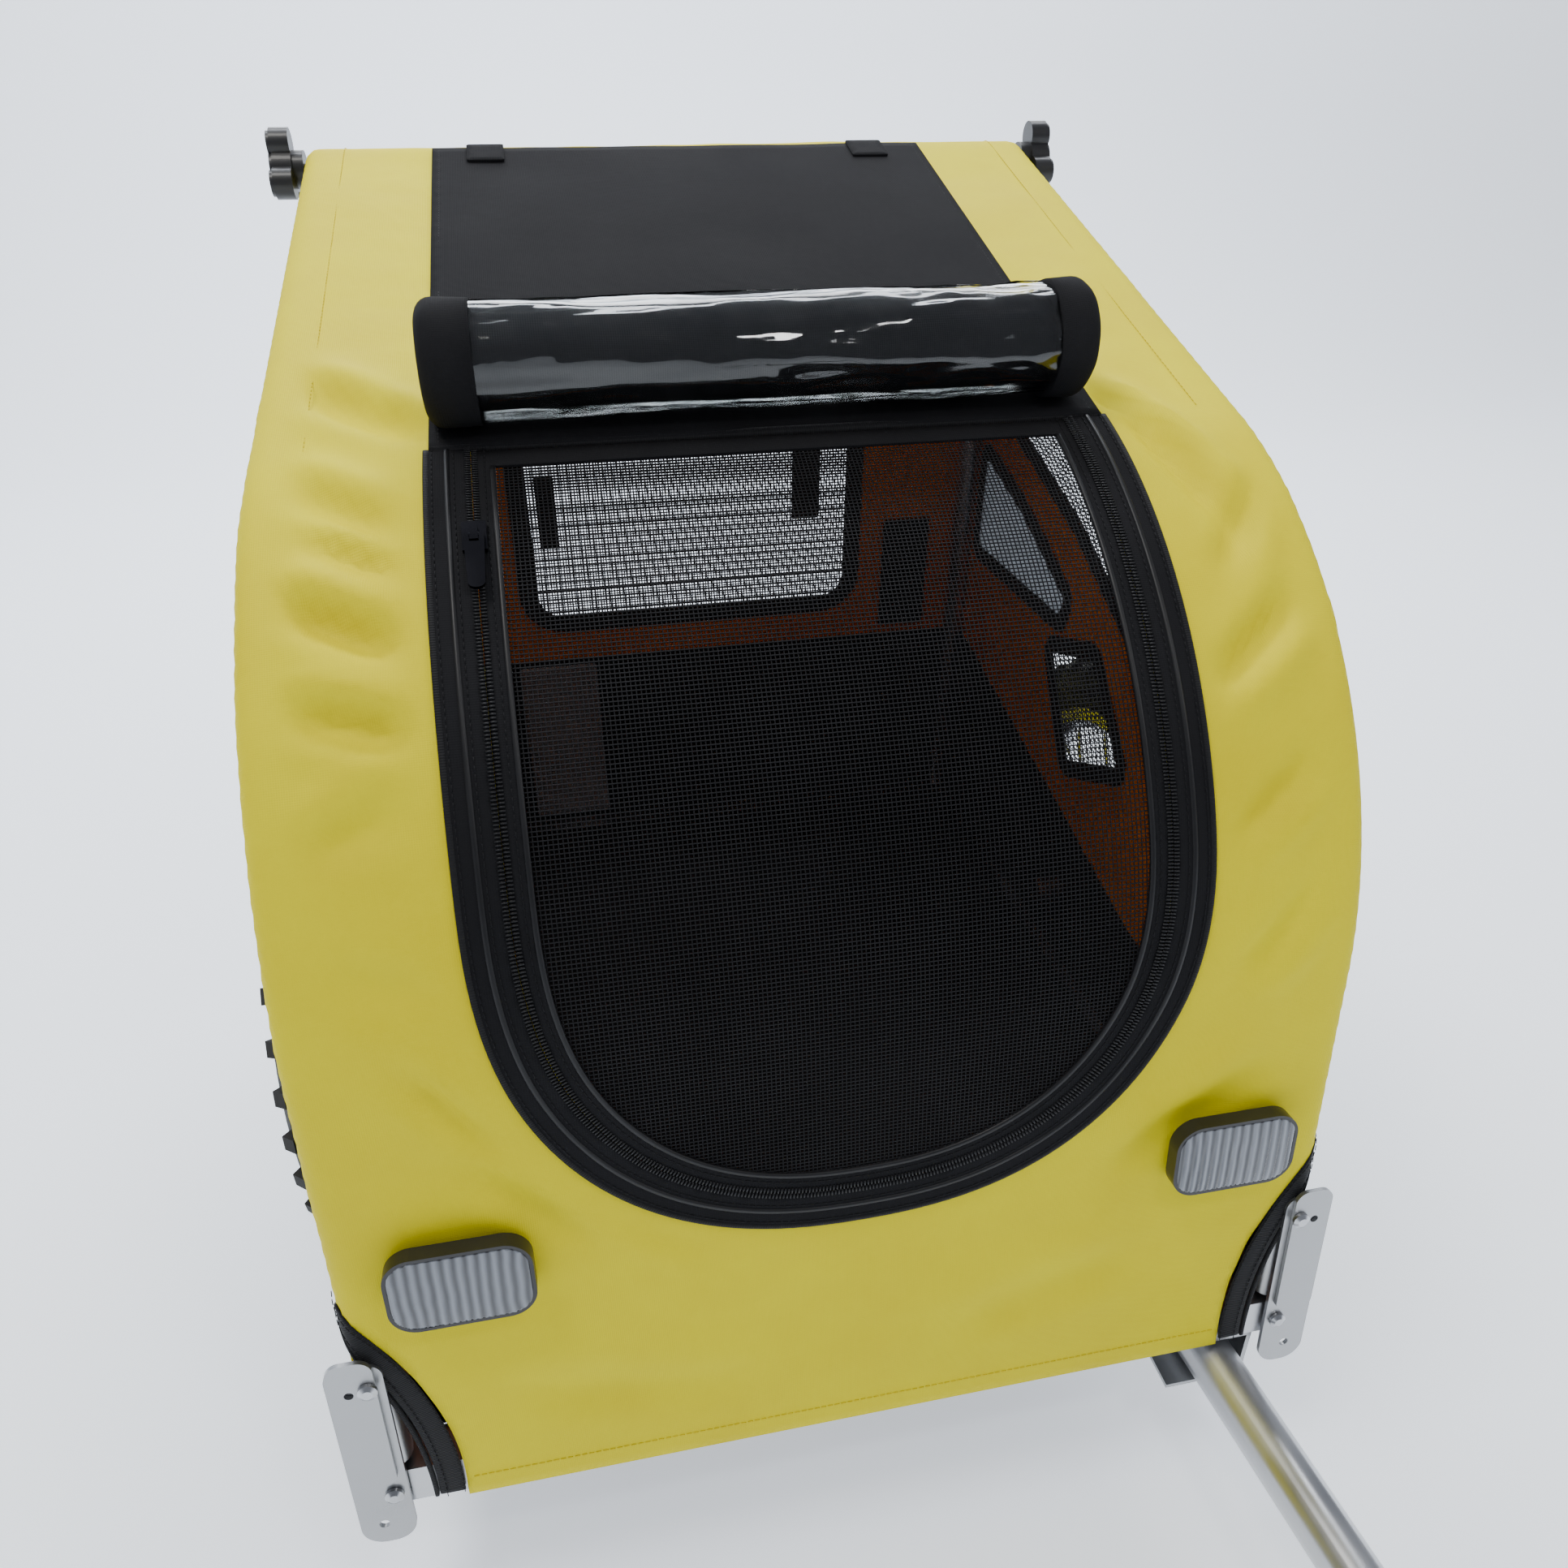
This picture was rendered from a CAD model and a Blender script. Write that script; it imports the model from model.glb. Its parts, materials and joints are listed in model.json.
import json
import logging
import math
from dataclasses import dataclass, field
from enum import Enum
from typing import Callable, Sequence

import bmesh
import bpy
import numpy as np
from mathutils import Matrix, Vector, noise
from mathutils.geometry import delaunay_2d_cdt


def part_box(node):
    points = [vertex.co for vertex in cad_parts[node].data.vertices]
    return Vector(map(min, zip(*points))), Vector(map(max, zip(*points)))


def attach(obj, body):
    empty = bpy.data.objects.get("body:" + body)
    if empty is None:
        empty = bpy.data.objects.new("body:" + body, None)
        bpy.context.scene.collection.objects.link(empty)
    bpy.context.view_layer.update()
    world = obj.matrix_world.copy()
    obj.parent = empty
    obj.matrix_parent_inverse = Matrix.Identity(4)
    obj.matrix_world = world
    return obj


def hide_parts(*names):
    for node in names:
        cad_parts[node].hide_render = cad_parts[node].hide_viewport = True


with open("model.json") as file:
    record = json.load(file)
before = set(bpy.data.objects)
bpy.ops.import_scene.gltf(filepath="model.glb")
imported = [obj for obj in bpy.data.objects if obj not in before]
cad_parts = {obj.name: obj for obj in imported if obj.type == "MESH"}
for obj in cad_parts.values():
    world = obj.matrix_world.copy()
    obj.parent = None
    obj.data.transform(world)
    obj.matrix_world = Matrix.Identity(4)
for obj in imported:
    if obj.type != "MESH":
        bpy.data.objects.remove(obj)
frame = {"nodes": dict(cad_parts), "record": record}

LOG = logging.getLogger("trailer")
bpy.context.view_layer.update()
MM = 0.001

Point2 = tuple[float, float]
Point3 = tuple[float, float, float]
Box2 = tuple[float, float, float, float]
Colour = tuple[float, float, float, float]
Outline = list[Point2]


class Side(Enum):
    """The trailer's own left and right, as signs of X."""

    LEFT = 1
    RIGHT = -1


# ---------------------------------------------------------------- colour and nodes


def linear(code: str, alpha: float = 1.0) -> Colour:
    """Turns an sRGB hex colour into the linear values that the shaders use.

    Args:
        code: six hex digits, such as "f0dc1e".
        alpha: the fourth value.

    Returns:
        Red, green, blue and alpha.
    """
    values = [int(code[i : i + 2], 16) / 255 for i in (0, 2, 4)]
    out = [v / 12.92 if v <= 0.04045 else ((v + 0.055) / 1.055) ** 2.4 for v in values]
    return (out[0], out[1], out[2], alpha)


def add_node(
    tree: bpy.types.NodeTree, kind: str, settings: dict | None = None, **inputs: object,
) -> bpy.types.Node:
    """Adds one node with its settings, and its inputs as numbers or links.

    Args:
        tree: the node tree.
        kind: the node's type name.
        settings: attributes set on the node before its inputs.
        inputs: input name, with _ for a space, or in0, in1 for a place in the list.

    Returns:
        The node.
    """
    node = tree.nodes.new(kind)
    for key, value in (settings or {}).items():
        setattr(node, key, value)
    for key, value in inputs.items():
        by_place = key[:2] == "in" and key[2:].isdigit()
        socket = node.inputs[int(key[2:]) if by_place else key.replace("_", " ")]
        if isinstance(value, bpy.types.NodeSocket):
            tree.links.new(value, socket)
        else:
            socket.default_value = value
    return node


def blank_material(name: str) -> tuple[bpy.types.Material, bpy.types.NodeTree]:
    """Makes an empty node material.

    Args:
        name: the material's name.

    Returns:
        The material and its node tree, with nothing in it.
    """
    material = bpy.data.materials.new(name)
    material.use_nodes = True
    material.node_tree.nodes.clear()
    return material, material.node_tree


def close_material(tree: bpy.types.NodeTree, shader: bpy.types.Node) -> None:
    """Links a shader to the material's output.

    Args:
        tree: the node tree.
        shader: the shader node.
    """
    output = add_node(tree, "ShaderNodeOutputMaterial")
    tree.links.new(shader.outputs[0], output.inputs["Surface"])


def mix_colour(
    tree: bpy.types.NodeTree, factor: bpy.types.NodeSocket, low: Colour, high: Colour,
) -> bpy.types.NodeSocket:
    """Mixes two colours by a factor.

    Args:
        tree: the node tree.
        factor: socket from 0 to 1.
        low: colour at 0.
        high: colour at 1.

    Returns:
        The mixed colour's socket.
    """
    node = add_node(tree, "ShaderNodeMix", {"data_type": "RGBA"})
    tree.links.new(factor, node.inputs[0])
    node.inputs[6].default_value = low
    node.inputs[7].default_value = high
    return node.outputs[2]


# ---------------------------------------------------------------- finishes


@dataclass(frozen=True)
class WovenCloth:
    """Plain-woven coated polyester: even colour and a fine square weave, with hardly any shine."""

    name: str
    colour: str
    shade: str
    thread_mm: float = 1.1  # drawn about twice as coarse as real yarn, or it wouldn't show
    relief_mm: float = 0.12
    roughness: float = 0.62
    sheen: float = 0.25
    specular: float = 0.14

    def build(self) -> bpy.types.Material:
        """Makes the material on the cloth's own UV map, which is in metres."""
        material, tree = blank_material(self.name)
        uv = add_node(tree, "ShaderNodeUVMap")
        where = add_node(tree, "ShaderNodeTexCoord").outputs["Object"]
        scale = 2 * math.pi / (20 * self.thread_mm * MM)
        waves = [
            add_node(
                tree,
                "ShaderNodeTexWave",
                {"bands_direction": axis},
                Vector=uv.outputs[0],
                Scale=scale,
                Distortion=0.6,
                Detail=1.0,
                Detail_Scale=0.02,
            ).outputs[1]
            for axis in ("X", "Y")
        ]
        weave = add_node(tree, "ShaderNodeMath", {"operation": "ADD"}, in0=waves[0], in1=waves[1]).outputs[0]
        slub = add_node(
            tree, "ShaderNodeTexNoise", Vector=where, Scale=9.0, Detail=5.0, Roughness=0.6,
        ).outputs[0]
        fade = add_node(tree, "ShaderNodeMapRange", in0=slub, in1=0.3, in2=0.7, in3=0.0, in4=1.0).outputs[0]
        bump = add_node(
            tree, "ShaderNodeBump", Strength=0.55, Distance=self.relief_mm * MM, Height=weave
        )
        crumple = add_node(tree, "ShaderNodeTexNoise", Vector=where, Scale=42.0, Detail=3.0).outputs[0]
        bump2 = add_node(
            tree, "ShaderNodeBump", Strength=0.3, Distance=1.2 * MM, Height=crumple, Normal=bump.outputs[0]
        )
        rough = add_node(
            tree,
            "ShaderNodeMapRange",
            in0=slub,
            in1=0.3,
            in2=0.7,
            in3=self.roughness - 0.06,
            in4=self.roughness + 0.06,
        ).outputs[0]
        shader = add_node(
            tree,
            "ShaderNodeBsdfPrincipled",
            Base_Color=mix_colour(tree, fade, linear(self.shade), linear(self.colour)),
            Roughness=rough,
            Sheen_Weight=self.sheen,
            Sheen_Roughness=0.4,
            Specular_IOR_Level=self.specular,
            Normal=bump2.outputs[0],
        )
        close_material(tree, shader)
        return material


@dataclass(frozen=True)
class Webbing:
    """Ribbed woven tape: narrow ribs across it and a dull black."""

    name: str
    colour: str
    shade: str
    rib_mm: float = 1.3
    roughness: float = 0.7

    def build(self) -> bpy.types.Material:
        """Makes the material on the tape's own UV map, u along it and v across."""
        material, tree = blank_material(self.name)
        uv = add_node(tree, "ShaderNodeUVMap")
        ribs = add_node(
            tree,
            "ShaderNodeTexWave",
            {"bands_direction": "X"},
            Vector=uv.outputs[0],
            Scale=2 * math.pi / (20 * self.rib_mm * MM),
            Distortion=0.4,
        ).outputs[1]
        where = add_node(tree, "ShaderNodeTexCoord").outputs["Object"]
        lint = add_node(tree, "ShaderNodeTexNoise", Vector=where, Scale=160.0, Detail=4.0).outputs[0]
        bump = add_node(tree, "ShaderNodeBump", Strength=0.6, Distance=0.25 * MM, Height=ribs)
        shader = add_node(
            tree,
            "ShaderNodeBsdfPrincipled",
            Base_Color=mix_colour(tree, lint, linear(self.shade), linear(self.colour)),
            Roughness=self.roughness,
            Sheen_Weight=0.05,
            Specular_IOR_Level=0.2,
            Normal=bump.outputs[0],
        )
        close_material(tree, shader)
        return material


@dataclass(frozen=True)
class MetalSurface:
    """Metal with rolling or drawing lines, smudges and slightly worn brightness."""

    name: str
    colour: str
    shade: str
    roughness: float = 0.3
    line_stretch: tuple[float, float, float] = (1.0, 1.0, 1.0)
    line_scale: float = 420.0

    def build(self) -> bpy.types.Material:
        """Makes the material on Object coordinates."""
        material, tree = blank_material(self.name)
        where = add_node(tree, "ShaderNodeTexCoord").outputs["Object"]
        stretched = add_node(tree, "ShaderNodeMapping", in0=where)
        stretched.inputs["Scale"].default_value = self.line_stretch
        lines = add_node(
            tree, "ShaderNodeTexNoise", Vector=stretched.outputs[0], Scale=self.line_scale, Detail=3.0
        ).outputs[0]
        smudge = add_node(tree, "ShaderNodeTexNoise", Vector=where, Scale=14.0, Detail=5.0).outputs[0]
        rough = add_node(
            tree,
            "ShaderNodeMapRange",
            in0=smudge,
            in1=0.3,
            in2=0.75,
            in3=self.roughness * 0.75,
            in4=self.roughness * 1.4,
        ).outputs[0]
        bump = add_node(tree, "ShaderNodeBump", Strength=0.18, Distance=0.05 * MM, Height=lines)
        shader = add_node(
            tree,
            "ShaderNodeBsdfPrincipled",
            Base_Color=mix_colour(tree, smudge, linear(self.shade), linear(self.colour)),
            Metallic=1.0,
            Roughness=rough,
            Normal=bump.outputs[0],
        )
        close_material(tree, shader)
        return material


@dataclass(frozen=True)
class Moulded:
    """Moulded plastic or rubber: a fine spark-eroded grain and a soft, dull shine."""

    name: str
    colour: str
    shade: str
    roughness: float = 0.5
    grain_mm: float = 0.8
    grain_depth_mm: float = 0.05
    coat: float = 0.0
    specular: float = 0.4

    def build(self) -> bpy.types.Material:
        """Makes the material on Object coordinates."""
        material, tree = blank_material(self.name)
        where = add_node(tree, "ShaderNodeTexCoord").outputs["Object"]
        grain = add_node(
            tree, "ShaderNodeTexNoise", Vector=where, Scale=1.0 / (self.grain_mm * MM), Detail=2.0
        ).outputs[0]
        dust = add_node(
            tree, "ShaderNodeTexNoise", Vector=where, Scale=22.0, Detail=6.0, Roughness=0.65,
        ).outputs[0]
        amount = add_node(
            tree, "ShaderNodeMapRange", in0=dust, in1=0.35, in2=0.8, in3=0.0, in4=1.0,
        ).outputs[0]
        bump = add_node(tree, "ShaderNodeBump", Strength=0.4, Distance=self.grain_depth_mm * MM, Height=grain)
        shader = add_node(
            tree,
            "ShaderNodeBsdfPrincipled",
            Base_Color=mix_colour(tree, amount, linear(self.colour), linear(self.shade)),
            Roughness=self.roughness,
            Coat_Weight=self.coat,
            Coat_Roughness=0.08,
            Specular_IOR_Level=self.specular,
            Normal=bump.outputs[0],
        )
        close_material(tree, shader)
        return material


@dataclass(frozen=True)
class ClearFilm:
    """Soft clear vinyl: bends light a little, and shows cloudy scuffs in its sharp gloss."""

    name: str
    colour: str = "f2f5f6"
    roughness: float = 0.04

    def build(self) -> bpy.types.Material:
        """Makes the material on Object coordinates."""
        material, tree = blank_material(self.name)
        where = add_node(tree, "ShaderNodeTexCoord").outputs["Object"]
        cloud = add_node(tree, "ShaderNodeTexNoise", Vector=where, Scale=30.0, Detail=4.0).outputs[0]
        rough = add_node(
            tree,
            "ShaderNodeMapRange",
            in0=cloud,
            in1=0.4,
            in2=0.75,
            in3=self.roughness,
            in4=self.roughness + 0.12,
        ).outputs[0]
        dent = add_node(
            tree, "ShaderNodeTexNoise", Vector=where, Scale=26.0, Detail=2.0, Distortion=0.8,
        ).outputs[0]
        bump = add_node(tree, "ShaderNodeBump", Strength=0.35, Distance=2.0 * MM, Height=dent)
        shader = add_node(
            tree,
            "ShaderNodeBsdfPrincipled",
            Base_Color=linear(self.colour),
            Roughness=rough,
            IOR=1.45,
            Transmission_Weight=1.0,
            Normal=bump.outputs[0],
        )
        close_material(tree, shader)
        return material


@dataclass(frozen=True)
class PrismLens:
    """Clear moulded lens over a silvery prism back: glassy and a slightly blue grey."""

    name: str = "prism_lens"

    def build(self) -> bpy.types.Material:
        """Makes the material: prism cells on Object coordinates, and rows on the lens's own UV map."""
        material, tree = blank_material(self.name)
        where = add_node(tree, "ShaderNodeTexCoord").outputs["Object"]
        cells = add_node(
            tree,
            "ShaderNodeTexVoronoi",
            {"feature": "DISTANCE_TO_EDGE"},
            Vector=where,
            Scale=1.0 / (2.6 * MM),
        ).outputs[0]
        uv = add_node(tree, "ShaderNodeUVMap")
        rows = add_node(
            tree,
            "ShaderNodeTexWave",
            {"bands_direction": "X"},
            Vector=uv.outputs[0],
            Scale=2 * math.pi / (20 * 5.8 * MM),
            Distortion=3.0,
            Detail=2.0,
            Detail_Scale=0.4,
        ).outputs[1]
        bump = add_node(tree, "ShaderNodeBump", Strength=0.3, Distance=0.25 * MM, Height=cells)
        shader = add_node(
            tree,
            "ShaderNodeBsdfPrincipled",
            Base_Color=mix_colour(tree, rows, linear("3f4146"), linear("7d828a")),
            Metallic=0.2,
            Roughness=0.25,
            Coat_Weight=0.4,
            Coat_Roughness=0.03,
            Normal=bump.outputs[0],
        )
        close_material(tree, shader)
        return material


@dataclass(frozen=True)
class StudioPaper:
    """Matt white paper under the trailer: even and cool white, a little brighter than the light on it."""

    name: str
    colour: str = "eef3fa"
    glow: float = 0.75

    def build(self) -> bpy.types.Material:
        """Makes the material, which has no pattern that could draw the eye."""
        material, tree = blank_material(self.name)
        shader = add_node(
            tree,
            "ShaderNodeBsdfPrincipled",
            Base_Color=linear(self.colour),
            Roughness=0.9,
            Specular_IOR_Level=0.1,
            Emission_Color=linear(self.colour),
            Emission_Strength=self.glow,
        )
        close_material(tree, shader)
        return material


class Finish(Enum):
    """Every finish on the trailer."""

    # Strong lemon yellow and matt, so folds show as soft shade and not as gloss.
    YELLOW = WovenCloth(
        "yellow_coated_polyester", "e9dc00", "e0cf00", sheen=0.0, roughness=0.62, specular=0.1,
    )
    # The same cloth from behind: bare, and orange-brown where the cabin is in shade.
    LINING = WovenCloth(
        "yellow_cloth_uncoated_back", "f0860f", "dc7609", roughness=0.85, sheen=0.0, specular=0.08,
    )
    # Near black and flat; the weave only breaks up the light at the edges.
    BLACK = WovenCloth(
        "black_coated_polyester", "222224", "1a1a1c", thread_mm=1.2, roughness=0.85, sheen=0.0,
        specular=0.08,
    )
    # A mid grey patch with a coarser weave, which stands out in the dark cabin.
    GREY = WovenCloth("grey_reflective_weave", "9a9b9f", "84858a", thread_mm=1.6, roughness=0.5)
    # Dull dark yarn that lets the cabin show through it.
    NET = Moulded("knotless_net_yarn", "1b1b1d", "242426", roughness=0.7, grain_mm=1.5, specular=0.12)
    # Dull near black, with ribs that catch a thin line of light.
    TAPE = Webbing("black_binding_tape", "1a1a1c", "121214")
    # Thread a touch deeper than the cover, so a seam reads as a dotted line.
    THREAD_YELLOW = Moulded("yellow_polyester_thread", "dcc800", "cdb800", roughness=0.7, specular=0.15)
    # Thread a touch lighter than the tape.
    THREAD_BLACK = Moulded("black_polyester_thread", "1d1d1f", "161618", roughness=0.7, specular=0.15)
    # Smooth nylon with a soft shine along each tooth and welt.
    COIL = Moulded("nylon_zip_coil", "141416", "1e1e20", roughness=0.42, specular=0.3)
    # Clear and sharply glossy, with bright streaks where the film is dented.
    FILM = ClearFilm("clear_soft_vinyl")
    # Satin, with long drawing lines that stretch each highlight along the tube.
    ALUMINIUM = MetalSurface("satin_anodised_aluminium", "c9cacc", "b4b5b8", 0.34, (1.0, 0.06, 1.0), 900.0)
    # Brighter and smoother than the frame.
    RIM = MetalSurface("polished_aluminium_rim", "d4d5d7", "bfc0c3", 0.2)
    # Cool grey plate with short rolling lines.
    PRESSED = MetalSurface("zinc_plated_pressed_steel", "b2b3b4", "98999b", 0.33, (1.0, 1.0, 0.12), 700.0)
    # Bright smooth plating, for screws, spokes and axles.
    BOLT = MetalSurface("bright_plated_steel", "c4c5c7", "a2a3a6", 0.22)
    # Dark mirror-like plating, for the zip's slider and pull.
    ENAMEL = MetalSurface("black_nickel_plating", "34343a", "232327", 0.22)
    # Near black with a fine grain and a faint coat of shine.
    PLASTIC = Moulded("black_moulded_nylon", "1b1b1e", "2a2a2d", roughness=0.42, coat=0.15)
    # Dusty black with a coarse grain.
    RUBBER = Moulded(
        "black_tyre_rubber", "1d1c1c", "2d2b29", roughness=0.78, grain_mm=1.4, grain_depth_mm=0.1,
    )
    # Glass-like grey with ribs.
    LENS = PrismLens()
    # Hazy film that blurs what is behind it.
    SMOKE = ClearFilm("smoke_grey_vinyl", "75787b", 0.55)
    # The darkest woven cloth, seen through the rolled film.
    ROLLED = WovenCloth(
        "black_cloth_rolled_up", "161618", "0f0f11", thread_mm=1.2, roughness=0.75, sheen=0.0,
        specular=0.1,
    )
    # Even cool white that holds no detail.
    PAPER = StudioPaper("matt_white_studio_paper")

    def material(self) -> bpy.types.Material:
        """The finish's material, made on first use."""
        found = bpy.data.materials.get(self.value.name)
        return found or self.value.build()


# ---------------------------------------------------------------- the cabin's side line


@dataclass
class SideLine:
    """Side outline of the cabin: front line, nose bend, roof, tail bend and rear line.

    s is the distance along the outer line from the front hem; depth is measured inwards from it.
    """

    half_width: float = 280.0 * MM
    base_length: float = 706.0 * MM
    nose_height: float = 577.0 * MM
    lean: float = math.radians(5.0)
    roof_slope: float = math.radians(19.2)
    nose_radius: float = 309.0 * MM
    tail_radius: float = 28.0 * MM
    rail_height: float = 110.0 * MM
    foot_drop: float = 10.0 * MM
    axle_share: float = 0.54
    shift: float = field(init=False)

    def __post_init__(self) -> None:
        """Finds where the CAD frame puts the front foot, and the lengths of the five stretches."""
        low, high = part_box("stub_axle_left")
        self.shift = (low.y + high.y) / 2 - self.axle_share * self.base_length
        up = np.array([math.sin(self.lean), math.cos(self.lean)])
        roof = np.array([math.cos(self.roof_slope), math.sin(self.roof_slope)])
        foot = np.array([self.shift, self.rail_height - self.foot_drop])
        nose = foot + up * (self.nose_height - foot[1]) / up[1]
        heel = np.array([self.shift + self.base_length, self.rail_height])
        rise = np.array([-math.sin(self.lean), math.cos(self.lean)])
        t = np.linalg.solve(np.array([roof, -rise]).T, heel - nose)
        tail = nose + roof * t[0]
        turn1 = math.pi / 2 - self.lean - self.roof_slope
        turn2 = math.pi / 2 - self.lean + self.roof_slope
        cut1 = self.nose_radius * math.tan(turn1 / 2)
        cut2 = self.tail_radius * math.tan(turn2 / 2)
        start = foot + up * self.foot_drop
        self._start, self._up, self._roof, self._fall = start, up, roof, -rise
        lengths = [
            np.linalg.norm(nose - start) - cut1,
            self.nose_radius * turn1,
            np.linalg.norm(tail - nose) - cut1 - cut2,
            self.tail_radius * turn2,
            np.linalg.norm(heel - tail) - cut2,
        ]
        self.marks = np.concatenate([[0.0], np.cumsum(lengths)])
        self._nose_start = nose - up * cut1
        self._roof_start = nose + roof * cut1
        self._tail_start = tail - roof * cut2
        self._fall_start = tail - rise * cut2
        self._angle1 = math.pi - self.lean
        self._angle2 = math.pi / 2 + self.roof_slope

    @property
    def length(self) -> float:
        """Length of the whole outer line."""
        return float(self.marks[-1])

    def at(self, s: np.ndarray, depth: np.ndarray | float = 0.0) -> tuple[np.ndarray, np.ndarray]:
        """Points of the line and its outward normals.

        Args:
            s: distances along the line; outside its ends it goes on straight.
            depth: how far inside the line, one number or one for each point.

        Returns:
            (n, 2) arrays of y, z and of the normal's y, z.
        """
        s = np.atleast_1d(np.asarray(s, float))
        m = self.marks
        angle = np.where(
            s < m[2],
            self._angle1 - np.clip(s - m[1], 0, None) / self.nose_radius,
            self._angle2 - np.clip(s - m[3], 0, m[4] - m[3]) / self.tail_radius,
        )
        normal = np.stack([np.cos(angle), np.sin(angle)], 1)
        out = np.empty((len(s), 2))
        centre1 = self._nose_start - self.nose_radius * np.array(
            [math.cos(self._angle1), math.sin(self._angle1)]
        )
        centre2 = self._tail_start - self.tail_radius * np.array(
            [math.cos(self._angle2), math.sin(self._angle2)]
        )
        for low, high, rule in (
            (-9.0, m[1], lambda k: self._start + self._up * s[k, None]),
            (m[1], m[2], lambda k: centre1 + self.nose_radius * normal[k]),
            (m[2], m[3], lambda k: self._roof_start + self._roof * (s[k, None] - m[2])),
            (m[3], m[4], lambda k: centre2 + self.tail_radius * normal[k]),
            (m[4], 9.0, lambda k: self._fall_start + self._fall * (s[k, None] - m[4])),
        ):
            k = (s >= low) & (s < high)
            if k.any():
                out[k] = rule(k)
        return out - normal * np.reshape(depth, (-1, 1)), normal

    def _table(self) -> tuple[np.ndarray, np.ndarray]:
        """Samples the line for looking places up on it.

        Returns:
            Distances along the line, and its points.
        """
        s = np.linspace(0, self.length, 1600)
        return s, self.at(s)[0]

    def s_front(self, z: float | np.ndarray) -> np.ndarray:
        """Distance along the line of height z on its front side."""
        s, p = self._table()
        k = s < self.marks[3]
        return np.interp(z, p[k, 1], s[k])

    def s_roof(self, y: float) -> float:
        """Distance along the line of the roof point at y, measured from the front foot."""
        s, p = self._table()
        k = (s > self.marks[1]) & (s < self.marks[3])
        return float(np.interp(y + self.shift, p[k, 0], s[k]))

    def s_rear(self, z: float) -> float:
        """Distance along the line of height z on its rear side."""
        s, p = self._table()
        k = s > self.marks[4]
        return float(np.interp(-z, -p[k, 1], s[k]))


LINE = SideLine()
HALF = LINE.half_width
HOOP_BEND = 11.2 * MM  # the cover's own radius over a hoop
HOOP_SLACK = 0.3 * MM  # kept inside the cabin's full width
HOOP_CENTRE = 11.5 * MM  # the bend's middle, inside the cabin's full width
Surface = Callable[[np.ndarray, np.ndarray], tuple[np.ndarray, np.ndarray]]


def wrap_surface(u: np.ndarray, s: np.ndarray) -> tuple[np.ndarray, np.ndarray]:
    """The cover over both hoops: flat between them, and bent down round each hoop at its sides.

    Args:
        u: distances across the cloth from the middle.
        s: distances along the side line.

    Returns:
        Points and outward normals.
    """
    radius = HOOP_BEND
    centre = HALF - HOOP_SLACK - radius
    over = np.clip(np.abs(u) - centre, 0, None)
    bend = np.clip(over / radius, 0, math.pi / 2)
    x = np.sign(u) * (np.clip(np.abs(u), 0, centre) + radius * np.sin(bend))
    depth = radius * (1 - np.cos(bend)) + np.clip(over - radius * math.pi / 2, 0, None)
    yz, n = LINE.at(s, depth)
    normal = np.stack([np.sign(u) * np.sin(bend), n[:, 0] * np.cos(bend), n[:, 1] * np.cos(bend)], 1)
    return np.stack([x, yz[:, 0], yz[:, 1]], 1), normal


def inner_wrap_surface(u: np.ndarray, s: np.ndarray) -> tuple[np.ndarray, np.ndarray]:
    """The same line without the bends at the hoops, for what lies between them."""
    yz, n = LINE.at(s)
    return np.stack([u, yz[:, 0], yz[:, 1]], 1), np.stack([u * 0, n[:, 0], n[:, 1]], 1)


def side_surface(side: Side, inset: float = 1.6 * MM) -> Surface:
    """The flat side wall, as a surface over y and z.

    Args:
        side: which wall.
        inset: how far its outer face is inside the cabin's width.

    Returns:
        The surface.
    """

    def surface(y: np.ndarray, z: np.ndarray) -> tuple[np.ndarray, np.ndarray]:
        """Places points of the wall, with its outward normals."""
        x = np.full_like(y, side.value * (HALF - inset))
        normal = np.zeros((len(y), 3))
        normal[:, 0] = side.value
        return np.stack([x, y, z], 1), normal

    return surface


# ---------------------------------------------------------------- outlines


def dense(points: Sequence[Point2], step: float, closed: bool = True) -> Outline:
    """Adds points to an outline so that none of its runs is longer than step.

    Args:
        points: the outline's points in order.
        step: the longest run allowed.
        closed: whether the last point joins the first.

    Returns:
        The outline with its new points.
    """
    out: Outline = []
    count = len(points)
    for i in range(count if closed else count - 1):
        a, b = np.array(points[i]), np.array(points[(i + 1) % count])
        parts = max(1, math.ceil(np.linalg.norm(b - a) / step))
        out += [tuple(a + (b - a) * k / parts) for k in range(parts)]
    return out if closed else out + [tuple(points[-1])]


def rounded(points: Sequence[Point2], radius: float, parts: int = 6) -> Outline:
    """Rounds the corners of a closed outline.

    Args:
        points: its corners in order.
        radius: the corners' radius.
        parts: straight runs in each corner.

    Returns:
        The outline with an arc at each corner.
    """
    out: Outline = []
    count = len(points)
    for i in range(count):
        p = np.array(points[i], float)
        a, b = np.array(points[i - 1]) - p, np.array(points[(i + 1) % count]) - p
        a, b = a / np.linalg.norm(a), b / np.linalg.norm(b)
        half = math.acos(max(-1.0, min(1.0, float(a @ b)))) / 2
        bis = (a + b) / np.linalg.norm(a + b)
        centre = p + bis * radius / math.sin(half)
        v0, v1 = p + a * radius / math.tan(half) - centre, p + b * radius / math.tan(half) - centre
        a0 = math.atan2(v0[1], v0[0])
        turn = (math.atan2(v1[1], v1[0]) - a0 + math.pi) % (2 * math.pi) - math.pi
        out += [
            (
                centre[0] + radius * math.cos(a0 + turn * k / parts),
                centre[1] + radius * math.sin(a0 + turn * k / parts),
            )
            for k in range(parts + 1)
        ]
    return out


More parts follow.
